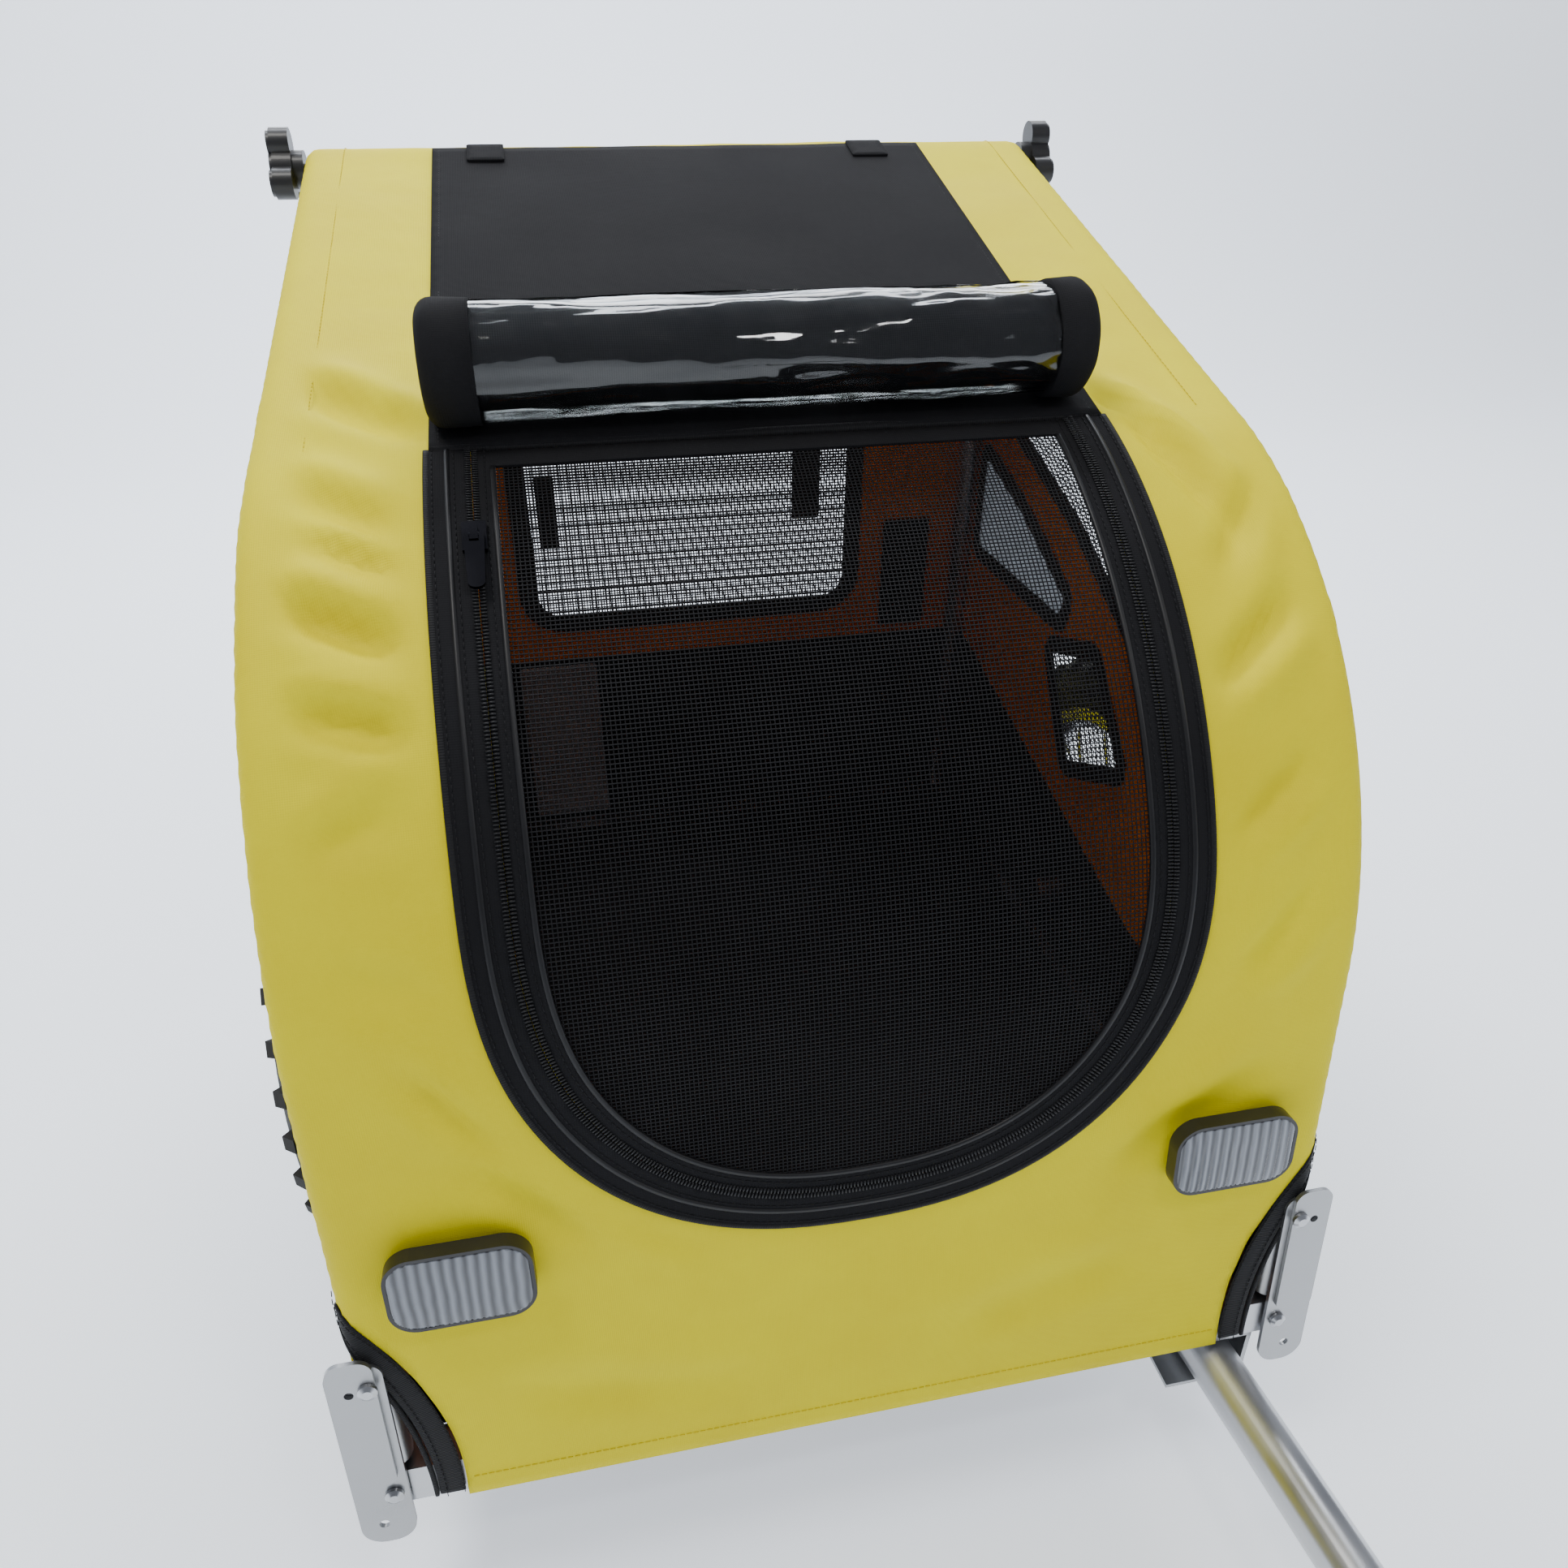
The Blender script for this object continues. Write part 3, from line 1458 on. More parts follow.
    def build(self, kit: Kit) -> None:
        """Makes the cover, its bindings, hems and the rear wall and window.

        Args:
            kit: collects the pieces.
        """
        end = LINE.s_rear(self.wall_top)
        arc = self.scallop(self.scallop_width)
        side_start = arc[-1][1] + 4 * MM
        right = [(p, q) for p, q in arc if p < HALF - 6 * MM] + [(self.edge, side_start)]
        outline = [(-right[0][0], 0.0), (right[0][0], 0.0)] + right
        outline += [(self.edge, end), (-self.edge, end)] + [(-p, q) for p, q in reversed(right)]
        window = self._window()
        cover = ClothCut(
            "main_cover",
            outline,
            wrap_surface,
            Finish.YELLOW,
            holes=[DOOR.outline(DOOR.zip_inset, DOOR.top + 10 * MM), window],
            relief=self.relief,
            back=Finish.LINING,
        )
        kit.cloth(cover, "chassis", "yellow_fabric", ("front_skin", "roof_skin", "rear_skin"))
        low = LINE.s_rear(112 * MM)
        wide = self.edge - 8 * MM
        wall = ClothCut(
            "rear_wall",
            [(-wide, end - 8 * MM), (wide, end - 8 * MM), (wide, low), (-wide, low)],
            wrap_surface,
            Finish.BLACK,
            lift=-1.1 * MM,
            step=9 * MM,
        )
        kit.cloth(wall, "chassis", "black_fabric", ("rear_lower_wall",))
        self._bindings(kit, arc)
        self._seams(kit, end, side_start)
        self._window_parts(kit, window)

    def _window(self) -> Outline:
        """Outline of the rear window's opening, with rounded corners."""
        low, high = LINE.s_rear(self.window_high), LINE.s_rear(self.window_low)
        half = self.window_half
        return rounded([(-half, low), (half, low), (half, high), (-half, high)], 32 * MM)

    def _bindings(self, kit: Kit, arc: Outline) -> None:
        """Makes the tapes round the two cut-outs, with their rolled edges and stitches.

        Args:
            kit: collects the pieces.
            arc: the cover's edge at the cut-out.
        """
        middle = self.scallop(self.scallop_width * 0.45)
        parts = []
        for sign in (1, -1):
            line = dense([(sign * p, q) for p, q in middle], 3 * MM, closed=False)
            parts.append(
                Strip("binding", line, wrap_surface, Finish.TAPE, self.scallop_width, 0.9 * MM).build()
            )
            edge = dense([(sign * (p + 1 * MM), q) for p, q in self.scallop(-1 * MM)], 3 * MM, closed=False)
            parts.append(Strip("roll", edge, wrap_surface, Finish.TAPE, 2.4 * MM, 1.2 * MM, 1.2 * MM).build())
            for grow in (3.5 * MM, 12.5 * MM):
                row = [(sign * p, q) for p, q in self.scallop(grow)]
                parts.append(
                    BarRow(
                        "row", dense(row, 2 * MM, False), wrap_surface, Finish.THREAD_BLACK,
                        lift=1.35 * MM,
                    ).build()
                )
        kit.add(join("corner_binding_tapes", parts), "chassis", "black_binding", ("corner_bindings",))

    def _seams(self, kit: Kit, end: float, side_start: float) -> None:
        """Makes the cover's stitch rows.

        Args:
            kit: collects the pieces.
            end: where the cover meets the rear wall.
            side_start: where the side hem starts.
        """
        parts = []
        run = np.arange(side_start + 12 * MM, end, 6 * MM)
        for sign in (1, -1):
            for off in (4.0 * MM, 9.0 * MM):
                line = [(sign * (self.edge - off), float(q)) for q in run]
                parts.append(BarRow("row", line, wrap_surface, Finish.THREAD_YELLOW).build())
            line = [(sign * (HALF - self.roof_seam), float(q)) for q in run if q > LINE.marks[2]]
            parts.append(BarRow("row", line, wrap_surface, Finish.THREAD_YELLOW).build())
        arc = self.scallop(self.scallop_width)
        half = arc[0][0] - 6 * MM
        hem = [(float(x), 14 * MM) for x in np.linspace(-half, half, 80)]
        parts.append(BarRow("row", hem, wrap_surface, Finish.THREAD_YELLOW).build())
        across = np.linspace(-self.wall_seam_half, self.wall_seam_half, 80)
        join_line = [(float(x), end - 4 * MM) for x in across]
        parts.append(BarRow("row", join_line, wrap_surface, Finish.THREAD_YELLOW).build())
        kit.add(join("cover_seams", parts), "chassis", "yellow_fabric")

    def _window_parts(self, kit: Kit, window: Outline) -> None:
        """Makes the rear window's net and its binding on both sides.

        Args:
            kit: collects the pieces.
            window: the opening's outline.
        """
        net = Net(
            "rear_window_net", grown(window, 9 * MM), inner_wrap_surface, lift=-1.6 * MM, pitch=2.7 * MM,
            yarn=1.15 * MM,
        )
        kit.add(net.build(), "chassis", "black_mesh", ("window_mesh",))
        line = dense(window, 4 * MM)
        parts = [
            Strip(
                "binding", line, inner_wrap_surface, Finish.TAPE, 12 * MM, 1.4 * MM, 0.3 * MM, True,
            ).build(),
            Strip(
                "binding_in", line, back_of(inner_wrap_surface, 1.9 * MM), Finish.TAPE, 16 * MM, 0.8 * MM,
                0.2 * MM, True,
            ).build(),
            BarRow(
                "row", dense(grown(window, 4 * MM), 3 * MM), inner_wrap_surface, Finish.THREAD_BLACK,
                lift=1.3 * MM,
            ).build(),
        ]
        kit.add(join("rear_window_binding", parts), "chassis", "black_binding")


def back_of(surface: Surface, depth: float) -> Surface:
    """The inner side of a surface, looked at from inside.

    Args:
        surface: the outer surface.
        depth: how far inside it.

    Returns:
        A surface whose normals point inwards.
    """

    def inner(u: np.ndarray, v: np.ndarray) -> tuple[np.ndarray, np.ndarray]:
        """Places points of the inner side, with normals that point inwards."""
        place, normal = surface(u, v)
        return place - normal * depth, -normal

    return inner


@dataclass
class RoofParts:
    """The black panel sewn on the roof, the seam tape below it, its two tabs and its seams."""

    half: float = 187.0 * MM
    rear: float = 610.0 * MM
    tabs: tuple[Point2, ...] = ((-162, -135), (129, 157))  # both edges of each tab, in mm from the middle
    tab_run: Point2 = (584.0 * MM, 612.0 * MM)
    straps: tuple[Box2, ...] = ((-142, 447, -124, 515), (97, 460, 124, 530), (190, 340, 236, 452))  # in mm
    pocket: Box2 = (-176, 146, -100, 323)  # in mm

    @staticmethod
    def _rear_patch(box: Box2) -> Outline:
        """Outline on the rear wall of a patch from x0, z0 to x1, z1, given in mm."""
        x0, z0, x1, z1 = box
        return [(x * MM, LINE.s_rear(z * MM)) for x, z in ((x0, z0), (x1, z0), (x1, z1), (x0, z1))]

    def build(self, kit: Kit) -> None:
        """Makes the panel, its stitching, the tabs and straps, and the inner pocket.

        Args:
            kit: collects the pieces.
        """
        s0, s1 = float(LINE.s_front(DOOR.top)) - 0.4 * MM, LINE.s_roof(self.rear)
        outline = [(-self.half, s0), (self.half, s0), (self.half, s1), (-self.half, s1)]
        panel = ClothCut(
            "roof_sheet",
            outline,
            inner_wrap_surface,
            Finish.BLACK,
            lift=2.3 * MM,
            step=8 * MM,
            relief=lambda u, s: 0.9 * MM * noise_field(u, s, 60 * MM, 5.5) * smooth_step(
                self.half - np.abs(u), 0, 30 * MM,
            ),
        )
        kit.cloth(panel, "chassis", "black_fabric", ("roof_panel", "roll_strip"))
        seam = [(float(x), s0 + 2.4 * MM) for x in np.linspace(-self.half, self.half, 60)]
        parts = [Strip("seam", seam, inner_wrap_surface, Finish.TAPE, 6.0 * MM, 2.3 * MM, 2.0 * MM).build()]
        for x in (-self.half + 5 * MM, self.half - 5 * MM):
            line = [(x, float(q)) for q in np.arange(s0 + 6 * MM, s1, 6 * MM)]
            parts.append(BarRow("row", line, inner_wrap_surface, Finish.THREAD_BLACK, lift=2.1 * MM).build())
        low, high = (LINE.s_roof(y) for y in self.tab_run)
        for x0, x1 in self.tabs:
            tab = [(x0 * MM, low), (x1 * MM, low), (x1 * MM, high), (x0 * MM, high)]
            cut = ClothCut(
                "tab", rounded(tab, 2 * MM), inner_wrap_surface, Finish.BLACK, lift=3.9 * MM,
                thickness=1.6 * MM,
            )
            parts.append(cut.build())
        surface = back_of(inner_wrap_surface, 2.9 * MM)
        for strap in self.straps:
            parts.append(
                ClothCut(
                    "tab", rounded(self._rear_patch(strap), 2 * MM), surface, Finish.BLACK, lift=1.4 * MM,
                    thickness=1.3 * MM,
                ).build()
            )
        kit.add(join("roof_and_window_tabs", parts), "chassis", "black_fabric", ("fabric_tabs",))
        cut = ClothCut(
            "inner_pocket", rounded(self._rear_patch(self.pocket), 3 * MM),
            back_of(inner_wrap_surface, 2.4 * MM), Finish.GREY, lift=1.3 * MM,
        )
        kit.cloth(cut, "chassis", "grey_fabric", ("rear_pocket",))


@dataclass
class SideWall:
    """One side of the cabin: yellow above, black below, with three windows."""

    side: Side
    rise: float = 160.0 * MM
    middle: float = 300.0 * MM  # parts the lower edge into its front and rear runs
    band: tuple[Point2, ...] = ((-40, 45), (269, 75), (517, 129), (746, 184))
    low_window: tuple[Point2, ...] = ((648, 265), (440, 265), (428, 292), (540, 338), (640, 366))
    high_window: tuple[Point2, ...] = (
        (150, 205), (300, 290), (430, 352), (610, 410), (618, 560), (300, 452), (165, 395), (110, 330),
    )
    vent: tuple[Point2, ...] = ((402, 150), (300, 195), (372, 268), (462, 240))

    def _place(self, points: Sequence[Point2]) -> Outline:
        """Turns points in mm into metres in the trailer's frame."""
        return [(y * MM + LINE.shift, z * MM + self.rise) for y, z in points]

    def build(self, kit: Kit) -> None:
        """Makes the two panels, the windows and their bindings.

        Args:
            kit: collects the pieces.
        """
        name = self.side.name.lower()
        surface = side_surface(self.side, 1.3 * MM)
        band = np.array(self._place(self.band))
        s = np.linspace(2 * MM, LINE.length - 2 * MM, 220)
        edge = LINE.at(s, 9 * MM)[0]
        above = edge[:, 1] > np.interp(edge[:, 0], band[:, 0], band[:, 1])
        top = edge[above]
        inner = band[(band[:, 0] > top[0, 0]) & (band[:, 0] < top[-1, 0])]
        yellow = [tuple(p) for p in top] + [tuple(p) for p in inner[::-1]]
        holes = [
            rounded(self._place(points), radius * MM)
            for points, radius in ((self.low_window, 12), (self.high_window, 16), (self.vent, 10))
        ]
        panel = ClothCut(
            "side_sheet_" + name,
            yellow,
            surface,
            Finish.YELLOW,
            holes=holes,
            step=9 * MM,
            back=Finish.LINING,
            relief=lambda u, v: 1.2 * MM * np.abs(noise_field(u, v, 80 * MM, 2.2 + self.side.value)),
        )
        kit.cloth(panel, "chassis", "yellow_fabric", (f"side_panel_{name}",))
        low = edge[edge[:, 1] < np.interp(edge[:, 0], band[:, 0], band[:, 1]) + 7 * MM]
        front = low[low[:, 0] < self.middle]
        rear = low[low[:, 0] >= self.middle]
        inner = inner + np.array([0, 7 * MM])
        black = [tuple(p) for p in front] + [tuple(p) for p in inner] + [tuple(p) for p in rear]
        lower = ClothCut(
            "side_skirt_" + name,
            black,
            side_surface(self.side, 2.4 * MM),
            Finish.BLACK,
            step=10 * MM,
            thickness=0.7 * MM,
        )
        kit.cloth(lower, "chassis", "black_fabric", (f"side_lower_{name}",))
        self._windows(kit, name, holes, inner)

    def _windows(self, kit: Kit, name: str, holes: list[Outline], seam: np.ndarray) -> None:
        """Makes the film, the nets, and the bindings with their stitches.

        Args:
            kit: collects the pieces.
            name: left or right.
            holes: the window outlines.
            seam: the line where yellow meets black.
        """
        surface = side_surface(self.side, 1.3 * MM)
        film = ClothCut(
            "side_vinyl_" + name,
            grown(holes[0], 8 * MM),
            side_surface(self.side, 2.6 * MM),
            Finish.SMOKE,
            step=12 * MM,
            thickness=0.5 * MM,
        )
        kit.cloth(film, "chassis", "clear_vinyl", ("side_windows",) if self.side is Side.LEFT else ())
        nets = [
            Net(
                "net", grown(hole, 8 * MM), side_surface(self.side, 2.9 * MM), pitch=3.4 * MM,
                step=40 * MM,
            ).build()
            for hole in holes[1:]
        ]
        kit.add(join("side_net_" + name, nets), "chassis", "black_mesh")
        parts = []
        for hole in holes:
            line = dense(hole, 4 * MM)
            parts.append(
                Strip("binding", line, surface, Finish.TAPE, 11 * MM, 1.5 * MM, 0.3 * MM, True).build()
            )
            behind = back_of(surface, 1.5 * MM)
            parts.append(
                Strip("binding_in", line, behind, Finish.TAPE, 14 * MM, 0.9 * MM, 0.2 * MM, True).build()
            )
            row = dense(grown(hole, 3.5 * MM), 3 * MM)
            parts.append(BarRow("row", row, surface, Finish.THREAD_BLACK, lift=1.4 * MM).build())
        line = dense([tuple(p - np.array([0, 3 * MM])) for p in seam], 5 * MM, False)
        parts.append(BarRow("row", line, surface, Finish.THREAD_BLACK, lift=0.6 * MM).build())
        kit.add(join("side_window_bindings_" + name, parts), "chassis", "black_binding")


@dataclass
class ScreenDoor:
    """The lifting screen: net, black border, and the zip with its two rows of teeth."""

    tooth_pitch: float = 1.9 * MM
    gap: float = 0.6 * MM

    def build(self, kit: Kit) -> None:
        """Makes the tape on the cabin, and the border, net and teeth of the door.

        Args:
            kit: collects the pieces.
        """
        outer, cut = DOOR.outline(0.0), DOOR.outline(DOOR.zip_inset)
        tape = ClothCut(
            "zip_cloth", outer, inner_wrap_surface, Finish.BLACK, holes=[cut], lift=1.5 * MM, step=6 * MM,
        )
        kit.cloth(tape, "chassis", "black_binding", ("zip_tape",))
        edge = Strip(
            "edge",
            dense(DOOR.open_line(1.5 * MM), 4 * MM, False),
            inner_wrap_surface,
            Finish.TAPE,
            3.4 * MM,
            1.9 * MM,
        )
        parts = [
            edge.build(), self._welt(12.0 * MM, 2.3 * MM, 3.0 * MM),
            self._teeth(DOOR.zip_inset - 1.4 * MM),
        ]
        parts.append(self._row(4.5 * MM, 1.7 * MM))
        parts.append(self._row(15.5 * MM, 1.7 * MM))
        kit.add(join("zip_on_cabin", parts), "chassis", "black_binding")
        inset = DOOR.zip_inset + self.gap
        top = DOOR.top - 1.2 * MM
        net_inset = DOOR.mesh_inset - 6 * MM
        net = Net(
            "screen_net",
            DOOR.outline(net_inset, top - 4 * MM),
            inner_wrap_surface,
            pitch=2.3 * MM,
            yarn=0.62 * MM,
            step=12 * MM,
            lift=-0.2 * MM,
        )
        kit.add(net.build(), "screen_door", "black_mesh", ("door_mesh",))
        hole = DOOR.outline(DOOR.mesh_inset, DOOR.top - 6 * MM)
        border = ClothCut(
            "door_border_cloth",
            DOOR.outline(inset, top),
            inner_wrap_surface,
            Finish.BLACK,
            holes=[hole],
            lift=1.4 * MM,
            step=5 * MM,
        )
        kit.cloth(border, "screen_door", "black_fabric", ("door_border",))
        parts = [
            self._teeth(inset + 1.3 * MM, top),
            self._welt(DOOR.mesh_inset - 1.0 * MM, 1.9 * MM, 3.0 * MM, DOOR.top - 6 * MM),
            self._row(DOOR.mesh_inset - 5 * MM, 1.6 * MM),
        ]
        kit.add(join("zip_on_door", parts), "screen_door", "black_binding")

    def _welt(self, inset: float, height: float, width: float, top: float | None = None) -> bpy.types.Object:
        """Makes a rounded welt beside the zip."""
        line = dense(DOOR.open_line(inset, top), 4 * MM, False)
        return Strip("welt", line, inner_wrap_surface, Finish.COIL, width, height).build()

    def _row(self, inset: float, lift: float) -> bpy.types.Object:
        """Makes one row of stitches round the door."""
        line = dense(DOOR.open_line(inset), 3 * MM, False)
        return BarRow("row", line, inner_wrap_surface, Finish.THREAD_BLACK, lift=lift).build()

    def _teeth(self, inset: float, top: float | None = None) -> bpy.types.Object:
        """Makes one side's row of zip teeth.

        Args:
            inset: the row's distance inside the border's outer edge.
            top: height where it starts and ends, or None for the seam's own.

        Returns:
            The row.
        """
        line = dense(DOOR.open_line(inset, top), 2 * MM, False)
        return BarRow(
            "teeth",
            line,
            inner_wrap_surface,
            Finish.COIL,
            self.tooth_pitch,
            3.0 * MM,
            1.1 * MM,
            lift=1.9 * MM,
            along=False,
        ).build()


@dataclass
class CoverRoll:
    """The clear rain cover, rolled up on the roof round dark cloth, with a black edge at each end."""

    turns: float = 1.45
    film: float = 0.5 * MM
    rings: int = 150
    stations: int = 150

    def __post_init__(self) -> None:
        """Reads the roll's axis from the frame."""
        low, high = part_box("cover_roll")
        self.centre = ((low.y + high.y) / 2, (low.z + high.z) / 2)
        self.radius = (high.z - low.z) / 2
        self.left, self.right = low.x, high.x
        self.ends = (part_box("roll_caps")[0].x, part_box("roll_caps")[1].x)

    def _tube(
        self, name: str, x: np.ndarray, radius: Callable[[float], float], turn: np.ndarray,
        finish: Finish, wave: Callable[[float, float], float],
    ) -> bpy.types.Object:
        """Makes a wound film with a thickness.

        Args:
            name: the piece's name.
            x: places along the roll.
            radius: radius at each angle.
            turn: angles along the film, in radians.
            finish: the film's finish.
            wave: height of the wrinkles by place and angle.

        Returns:
            The closed film.
        """
        verts, faces, uvs = [], [], []
        rows, cols = len(turn), len(x)
        for layer in (0, 1):
            for i, angle in enumerate(turn):
                for px in x:
                    r = radius(angle) + wave(px, angle) - (self.film if layer else 0)
                    verts.append(
                        (px, self.centre[0] + r * math.cos(angle), self.centre[1] + r * math.sin(angle))
                    )
                    uvs.append((px, radius(angle) * angle))
        size = rows * cols
        for i in range(rows - 1):
            for j in range(cols - 1):
                a, b, c, d = i * cols + j, i * cols + j + 1, (i + 1) * cols + j + 1, (i + 1) * cols + j
                faces.append((a, b, c, d))
                faces.append((a + size, d + size, c + size, b + size))
        border = [i * cols for i in range(rows)] + [(rows - 1) * cols + j for j in range(1, cols)]
        border += [i * cols + cols - 1 for i in range(rows - 2, -1, -1)] + [j for j in range(cols - 2, 0, -1)]
        for a, b in zip(border, border[1:] + border[:1]):
            faces.append((a, b, b + size, a + size))
        obj = make_object(name, verts, faces, finish, uvs)
        recalc(obj)
        return obj

    def build(self, kit: Kit) -> None:
        """Makes the film, the dark roll inside it and the two ends.

        Args:
            kit: collects the pieces.
        """
        x = np.linspace(self.left - 3 * MM, self.right + 3 * MM, self.stations)
        turn = np.linspace((2.4 - 2 * self.turns) * math.pi, 2.4 * math.pi, self.rings)
        middle = (self.left + self.right) / 2

        def wrinkle(px: float, angle: float) -> float:
            """Height of the film's wrinkles, which grow sharper towards the right."""
            pull = 0.35 + 0.65 * smooth_step(np.array([px]), middle - 0.02, self.right)[0]
            near = noise.noise(Vector((px * 13.0, angle * 2.6, 4.4)))
            sharp = abs(noise.noise(Vector((px * 30.0 + angle * 1.5, angle * 3.4, 8.8))))
            return (1.9 * near - 2.6 * sharp * pull) * MM

        film = self._tube(
            "cover_film", x, lambda a: self.radius - 3.4 * MM + 0.3 * MM * a, turn, Finish.FILM, wrinkle,
        )
        kit.add(film, "chassis", "clear_vinyl", ("cover_roll",))
        core_turn = np.linspace(0, 2 * math.pi, 60)
        core = self._core("rolled_cloth", x[::3], core_turn)
        kit.add(core, "chassis", "black_fabric")
        kit.add(self._ends(), "chassis", "black_fabric", ("roll_caps",))

    def _core(self, name: str, x: np.ndarray, turn: np.ndarray) -> bpy.types.Object:
        """Makes the uneven roll of dark cloth inside the film.

        Args:
            name: the piece's name.
            x: places along the roll.
            turn: angles round it, from 0 to a full turn.

        Returns:
            The closed roll.
        """
        verts, uvs, faces = [], [], []
        rows = len(turn) - 1
        for px in x:
            for angle in turn[:-1]:
                lump = noise.noise(Vector((px * 9, math.cos(angle) * 1.4, math.sin(angle) * 1.4)))
                r = self.radius - 8.0 * MM + 1.6 * MM * lump
                verts.append((px, self.centre[0] + r * math.cos(angle), self.centre[1] + r * math.sin(angle)))
                uvs.append((px, angle * r))
        for i in range(len(x) - 1):
            for j in range(rows):
                k = (j + 1) % rows
                faces.append((i * rows + j, i * rows + k, (i + 1) * rows + k, (i + 1) * rows + j))
        faces.append(tuple(range(rows))[::-1])
        faces.append(tuple((len(x) - 1) * rows + j for j in range(rows)))
        obj = make_object(name, verts, faces, Finish.ROLLED, uvs)
        recalc(obj)
        return obj

    def _ends(self) -> bpy.types.Object:
        """Makes the two rounded black ends, with the wound edge showing as a groove.

        Returns:
            Both ends as one object.
        """
        parts = []
        for inner, outer in ((self.left, self.ends[0]), (self.right, self.ends[1])):
            sign = 1 if outer > inner else -1
            depth = abs(outer - inner)
            profile = [
                (0.4 * MM, self.radius - 4 * MM), (0.4 * MM, self.radius - 0.6 * MM),
                (depth * 0.5, self.radius),
            ]
            for a in np.linspace(0, math.pi / 2, 7):
                profile.append((depth - 9 * MM * (1 - math.sin(a)), self.radius - 9 * MM * (1 - math.cos(a))))
            for r in np.arange(self.radius - 11 * MM, 4 * MM, -2.0 * MM):
                profile.append((depth, r))
            verts, uvs, faces = [], [], []
            sides = 72
            for off, r in profile:
                for k in range(sides):
                    angle = 2 * math.pi * k / sides
                    groove = 0.0
                    if off >= depth - 0.1 * MM:
                        groove = -1.5 * MM * abs(math.sin(math.pi * r / (5.5 * MM) + angle / 2))
                    lump = 0.7 * MM * noise.noise(
                        Vector((off * 40, math.cos(angle) * 2, math.sin(angle) * 2))
                    )
                    rr = r + lump
                    verts.append(
                        (
                            inner + sign * (off + groove),
                            self.centre[0] + rr * math.cos(angle),
                            self.centre[1] + rr * math.sin(angle),
                        )
                    )
                    uvs.append((angle * r, off + r))
            rows = len(profile)
            for i in range(rows - 1):
                for k in range(sides):
                    m = (k + 1) % sides
                    faces.append((i * sides + k, i * sides + m, (i + 1) * sides + m, (i + 1) * sides + k))
            faces.append(tuple(range(sides))[::-1])
            faces.append(tuple((rows - 1) * sides + k for k in range(sides)))
            obj = make_object("end", verts, faces, Finish.BLACK, uvs)
            recalc(obj)
            parts.append(obj)
        return join("roll_end_cloths", parts)


@dataclass
class Reflectors:
    """Two clear ribbed lenses; the outer third of the one on the trailer's right has honeycomb prisms."""

    x: float = 213.0 * MM
    z: float = 279.0 * MM
    width: float = 69.6 * MM
    height: float = 43.6 * MM
    rib: float = 2.9 * MM
    cell: float = 3.2 * MM

    def relief(self, u: np.ndarray, v: np.ndarray) -> np.ndarray:
        """Ribs, prisms and a low crown towards the lens's middle.

        Args:
            u: distances across the cloth.
            v: distances along the side line.

        Returns:
            Heights of the lens's face.
        """
        mid = np.where(u > 0, self.x, -self.x)
        du, dv = u - mid, v - float(LINE.s_front(self.z))
        crown = 1.0 - 0.55 * (2 * dv / self.height) ** 4 - 0.45 * (2 * du / self.width) ** 6
        ribs = np.abs(np.sin(math.pi * du / self.rib))
        a, b = du / self.cell, dv / self.cell
        prism = np.cos(2 * math.pi * a) * np.cos(math.pi * (a + math.sqrt(3) * b)) * np.cos(
            math.pi * (a - math.sqrt(3) * b)
        )
        comb = (du < -self.width / 6) & (u < 0)
        return (crown * 1.4 + np.where(comb, 0.5 * prism, 0.45 * ribs)) * MM

    def build(self, kit: Kit) -> None:
        """Makes both lenses.

        Args:
            kit: collects the pieces.
        """
        parts = []
        for side in Side:
            cx, s = side.value * self.x, float(LINE.s_front(self.z))
            w, h = self.width / 2, self.height / 2
            outline = rounded(
                [(cx - w, s - h), (cx + w, s - h), (cx + w, s + h), (cx - w, s + h)], 12 * MM, 8,
            )
            cut = ClothCut(
                "lens",
                outline,
                inner_wrap_surface,
                Finish.LENS,
                thickness=6.5 * MM,
                lift=13.2 * MM,
                step=0.95 * MM,
                relief=self.relief,
            )
            parts.append(cut.build())
        kit.add(join("reflector_prisms", parts), "chassis", "reflector_clear", ("reflector_lenses",))


@dataclass
class FloorMat:
    """The cloth-covered board that closes the cabin's floor."""

    def build(self, kit: Kit) -> None:
        """Makes the board with soft edges and a faint quilting.

        Args:
            kit: collects the pieces.
        """
        low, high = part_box("floor_panel")

        def surface(u: np.ndarray, v: np.ndarray) -> tuple[np.ndarray, np.ndarray]:
            """Places points on the board's level top."""
            normal = np.zeros((len(u), 3))
            normal[:, 2] = 1
            return np.stack([u, v, np.full_like(u, high.z)], 1), normal

        def relief(u: np.ndarray, v: np.ndarray) -> np.ndarray:
            """Soft edge and faint quilting of the board."""
            rim = np.minimum(np.minimum(u - low.x, high.x - u), np.minimum(v - low.y, high.y - v))
            return -1.2 * MM * (1 - smooth_step(rim, 0, 6 * MM)) + 0.5 * MM * noise_field(u, v, 60 * MM, 6.1)

        outline = rounded([(low.x, low.y), (high.x, low.y), (high.x, high.y), (low.x, high.y)], 12 * MM)
        mat = ClothCut(
            "floor_board", outline, surface, Finish.BLACK, thickness=2.6 * MM, step=9 * MM, relief=relief,
        )
        kit.add(mat.build(), "chassis", "black_fabric", ("floor_panel",))


SLOT_FINISH = {
    "aluminium_tube": Finish.ALUMINIUM,
    "pressed_steel": Finish.PRESSED,
    "bolt_steel": Finish.BOLT,
    "black_plastic": Finish.PLASTIC,
    "black_metal": Finish.ENAMEL,
    "tyre_rubber": Finish.RUBBER,
    "black_rubber": Finish.RUBBER,
    "rim_alloy": Finish.RIM,
}


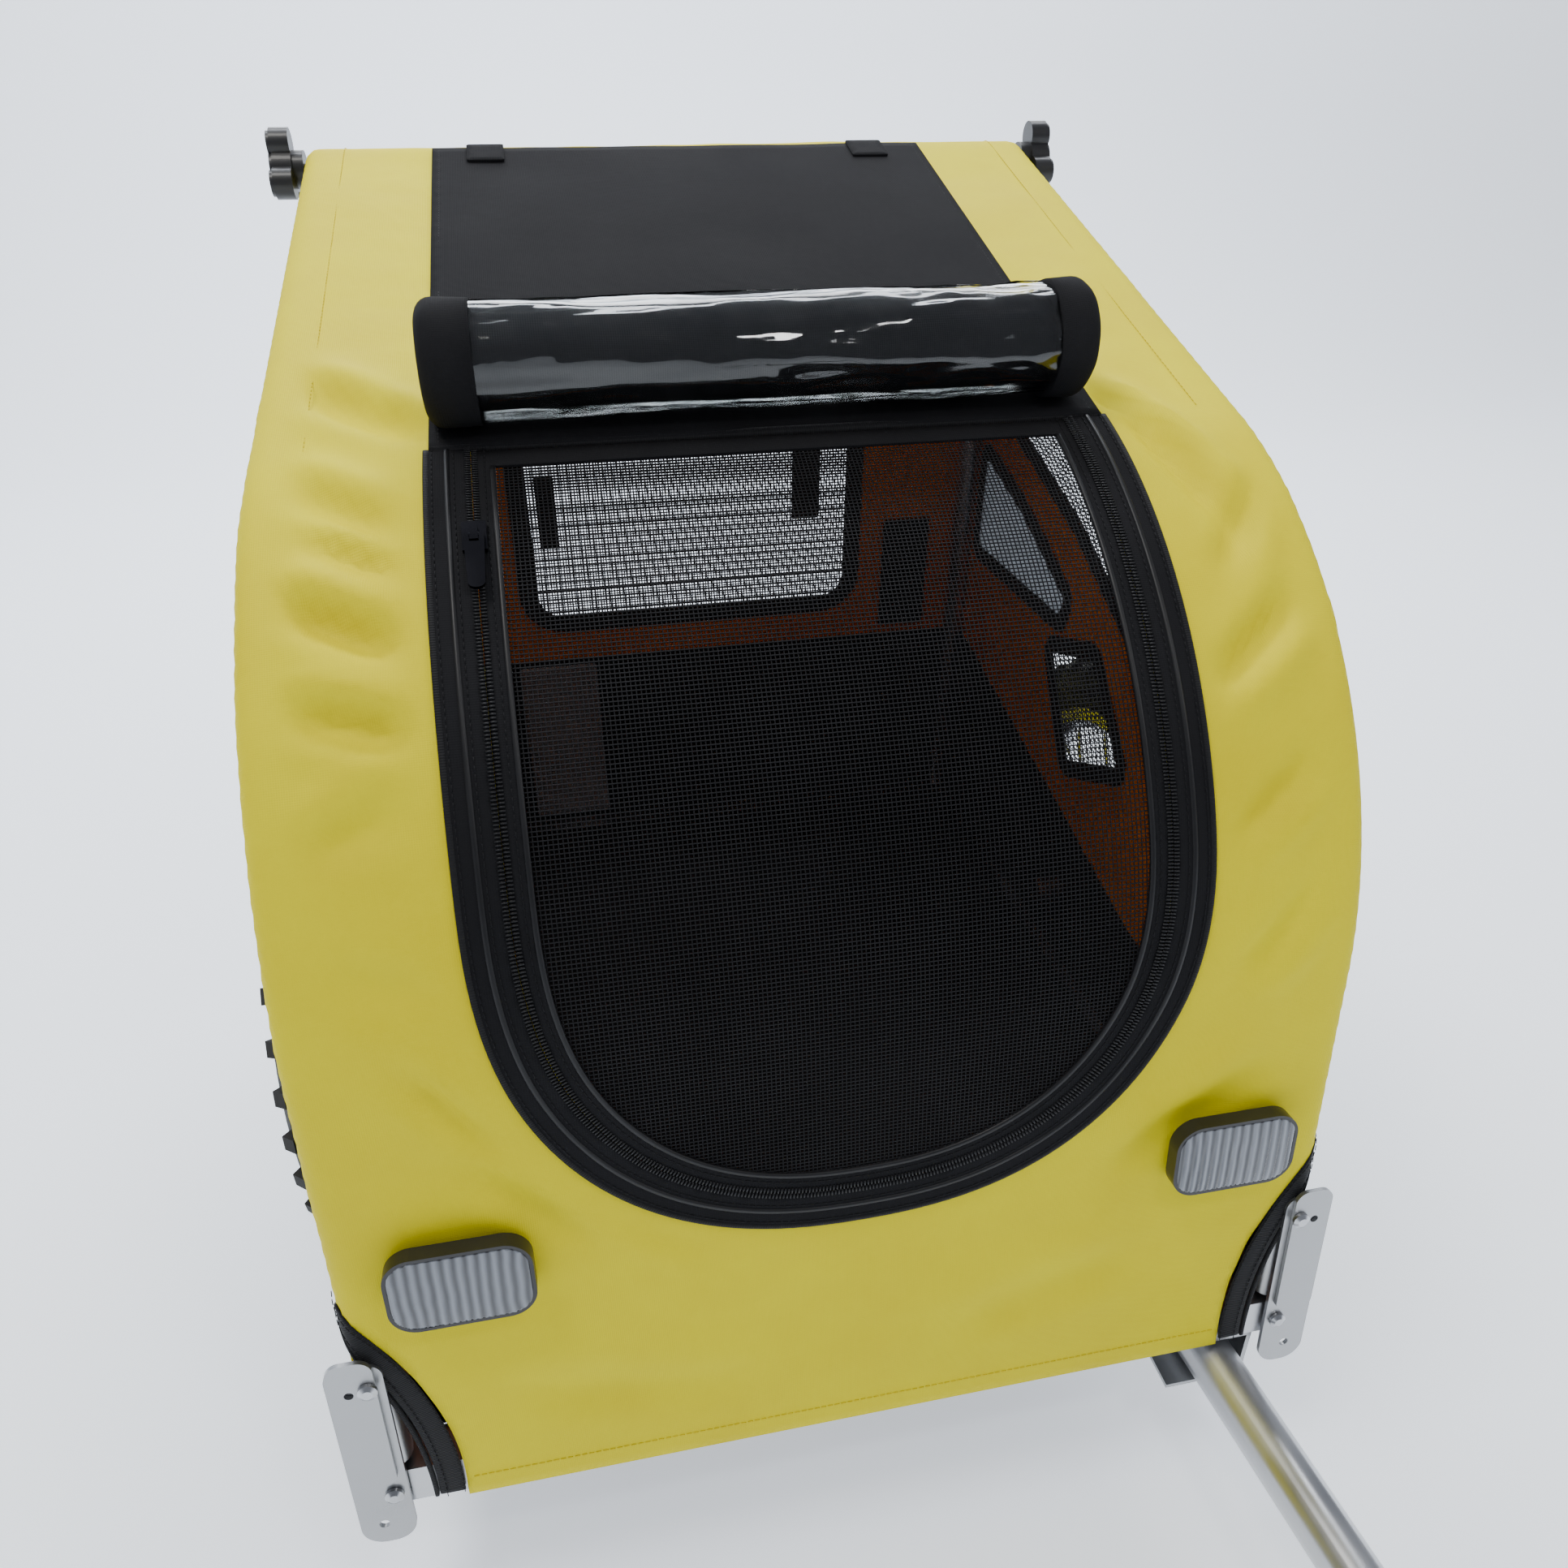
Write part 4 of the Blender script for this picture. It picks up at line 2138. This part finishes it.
def dress_frame() -> None:
    """Gives each kept CAD node the finish of its slot in the record."""
    for part in frame["record"]["subparts"]:
        finish = SLOT_FINISH.get(part["material_slot"])
        obj = frame["nodes"].get(part["node"])
        if finish is None or obj is None:
            continue
        if obj.material_slots:
            for slot in obj.material_slots:
                slot.material = finish.material()
        else:
            obj.data.materials.append(finish.material())
        LOG.info("%s dressed as %s", part["node"], finish.value.name)


@dataclass
class Studio:
    """Floor sweep, lights and camera."""

    floor_size: float = 9.0
    sweep_radius: float = 1.6
    sweep_start: float = 2.6
    sweep_height: float = 4.5
    sweep_stretch: float = 1.4
    sweep_parts: int = 16
    world_strength: float = 0.3
    lens_mm: float = 26.87
    sensor_mm: float = 36.0
    eye: Point3 = (-0.1267, -0.3729, 0.7883)
    right: Point3 = (0.98012, -0.19823, -0.00805)
    up: Point3 = (0.10386, 0.47810, 0.87214)
    back: Point3 = (-0.16904, -0.85564, 0.48919)

    def build(self) -> None:
        """Makes the pale sweep, the soft lights and the camera."""
        self._sweep()
        self._light("key", (-0.9, -0.1, 2.7), (0.0, 0.2, 0.4), (0.9, 0.7), 31.0, "fffdf8")
        self._light("fill", (-2.4, -1.6, 1.3), (0.0, 0.3, 0.4), (1.8, 1.8), 5.0, "eef4ff")
        self._light("side", (2.3, -0.6, 1.7), (0.0, 0.3, 0.4), (0.9, 1.6), 13.0, "ffffff")
        self._light("back", (0.3, 3.0, 2.4), (0.0, 0.6, 0.3), (2.4, 1.2), 34.0, "ffffff")
        self._light("backdrop", (0.0, 1.7, 3.1), (0.0, 3.2, 0.2), (3.0, 0.8), 130.0, "f4f8ff")
        self._light("flash", (0.25, -0.55, 1.5), (0.05, 0.25, 0.65), (0.16, 0.1), 2.5, "ffffff")
        world = bpy.data.worlds.new("studio")
        bpy.context.scene.world = world
        world.use_nodes = True
        world.node_tree.nodes["Background"].inputs[0].default_value = linear("e8eefb")
        world.node_tree.nodes["Background"].inputs[1].default_value = self.world_strength
        self._camera()

    def _sweep(self) -> None:
        """Makes the floor, which curves up behind the trailer."""
        half = self.floor_size / 2
        line = [(-half, 0.0), (self.sweep_start, 0.0)]
        for k in range(1, self.sweep_parts + 1):
            a = math.pi / 2 * k / self.sweep_parts
            line.append(
                (
                    self.sweep_start + self.sweep_radius * math.sin(a),
                    self.sweep_radius * (1 - math.cos(a)),
                )
            )
        line.append((self.sweep_start + self.sweep_radius, self.sweep_height))
        verts = [(x, y, z) for y, z in line for x in (-half * self.sweep_stretch, half * self.sweep_stretch)]
        faces = [(2 * i, 2 * i + 1, 2 * i + 3, 2 * i + 2) for i in range(len(line) - 1)]
        obj = make_object("floor", verts, faces, Finish.PAPER)

    def _light(
        self, name: str, place: Point3, target: Point3, size: Point2, power: float, colour: str,
    ) -> None:
        """Adds one soft rectangular light.

        Args:
            name: the light's name.
            place: where it stands.
            target: the point that it faces.
            size: its width and height.
            power: its power in watts.
            colour: its colour as hex digits.
        """
        lamp = bpy.data.lights.new(name, "AREA")
        lamp.shape = "RECTANGLE"
        lamp.size, lamp.size_y = size
        lamp.energy = power
        lamp.color = linear(colour)[:3]
        obj = bpy.data.objects.new(name, lamp)
        obj.location = place
        aim = Vector(target) - Vector(place)
        obj.rotation_euler = aim.to_track_quat("-Z", "Y").to_euler()
        bpy.context.scene.collection.objects.link(obj)

    def _camera(self) -> None:
        """Sets the camera at its viewing angle."""
        data = bpy.data.cameras.new("view")
        data.lens = self.lens_mm
        data.sensor_width = self.sensor_mm
        obj = bpy.data.objects.new("view", data)
        matrix = Matrix((self.right, self.up, self.back)).transposed().to_4x4()
        matrix.translation = self.eye
        obj.matrix_world = matrix
        bpy.context.scene.collection.objects.link(obj)
        bpy.context.scene.camera = obj


def main() -> None:
    """Builds every piece in order."""
    logging.basicConfig(level=logging.INFO, format="%(name)s: %(message)s")
    kit = Kit()
    Studio().build()
    dress_frame()
    YellowCover().build(kit)
    RoofParts().build(kit)
    for side in Side:
        SideWall(side).build(kit)
    ScreenDoor().build(kit)
    CoverRoll().build(kit)
    Reflectors().build(kit)
    FloorMat().build(kit)
    LOG.info("%d pieces made", len(kit.made))


if __name__ == "__main__":
    main()
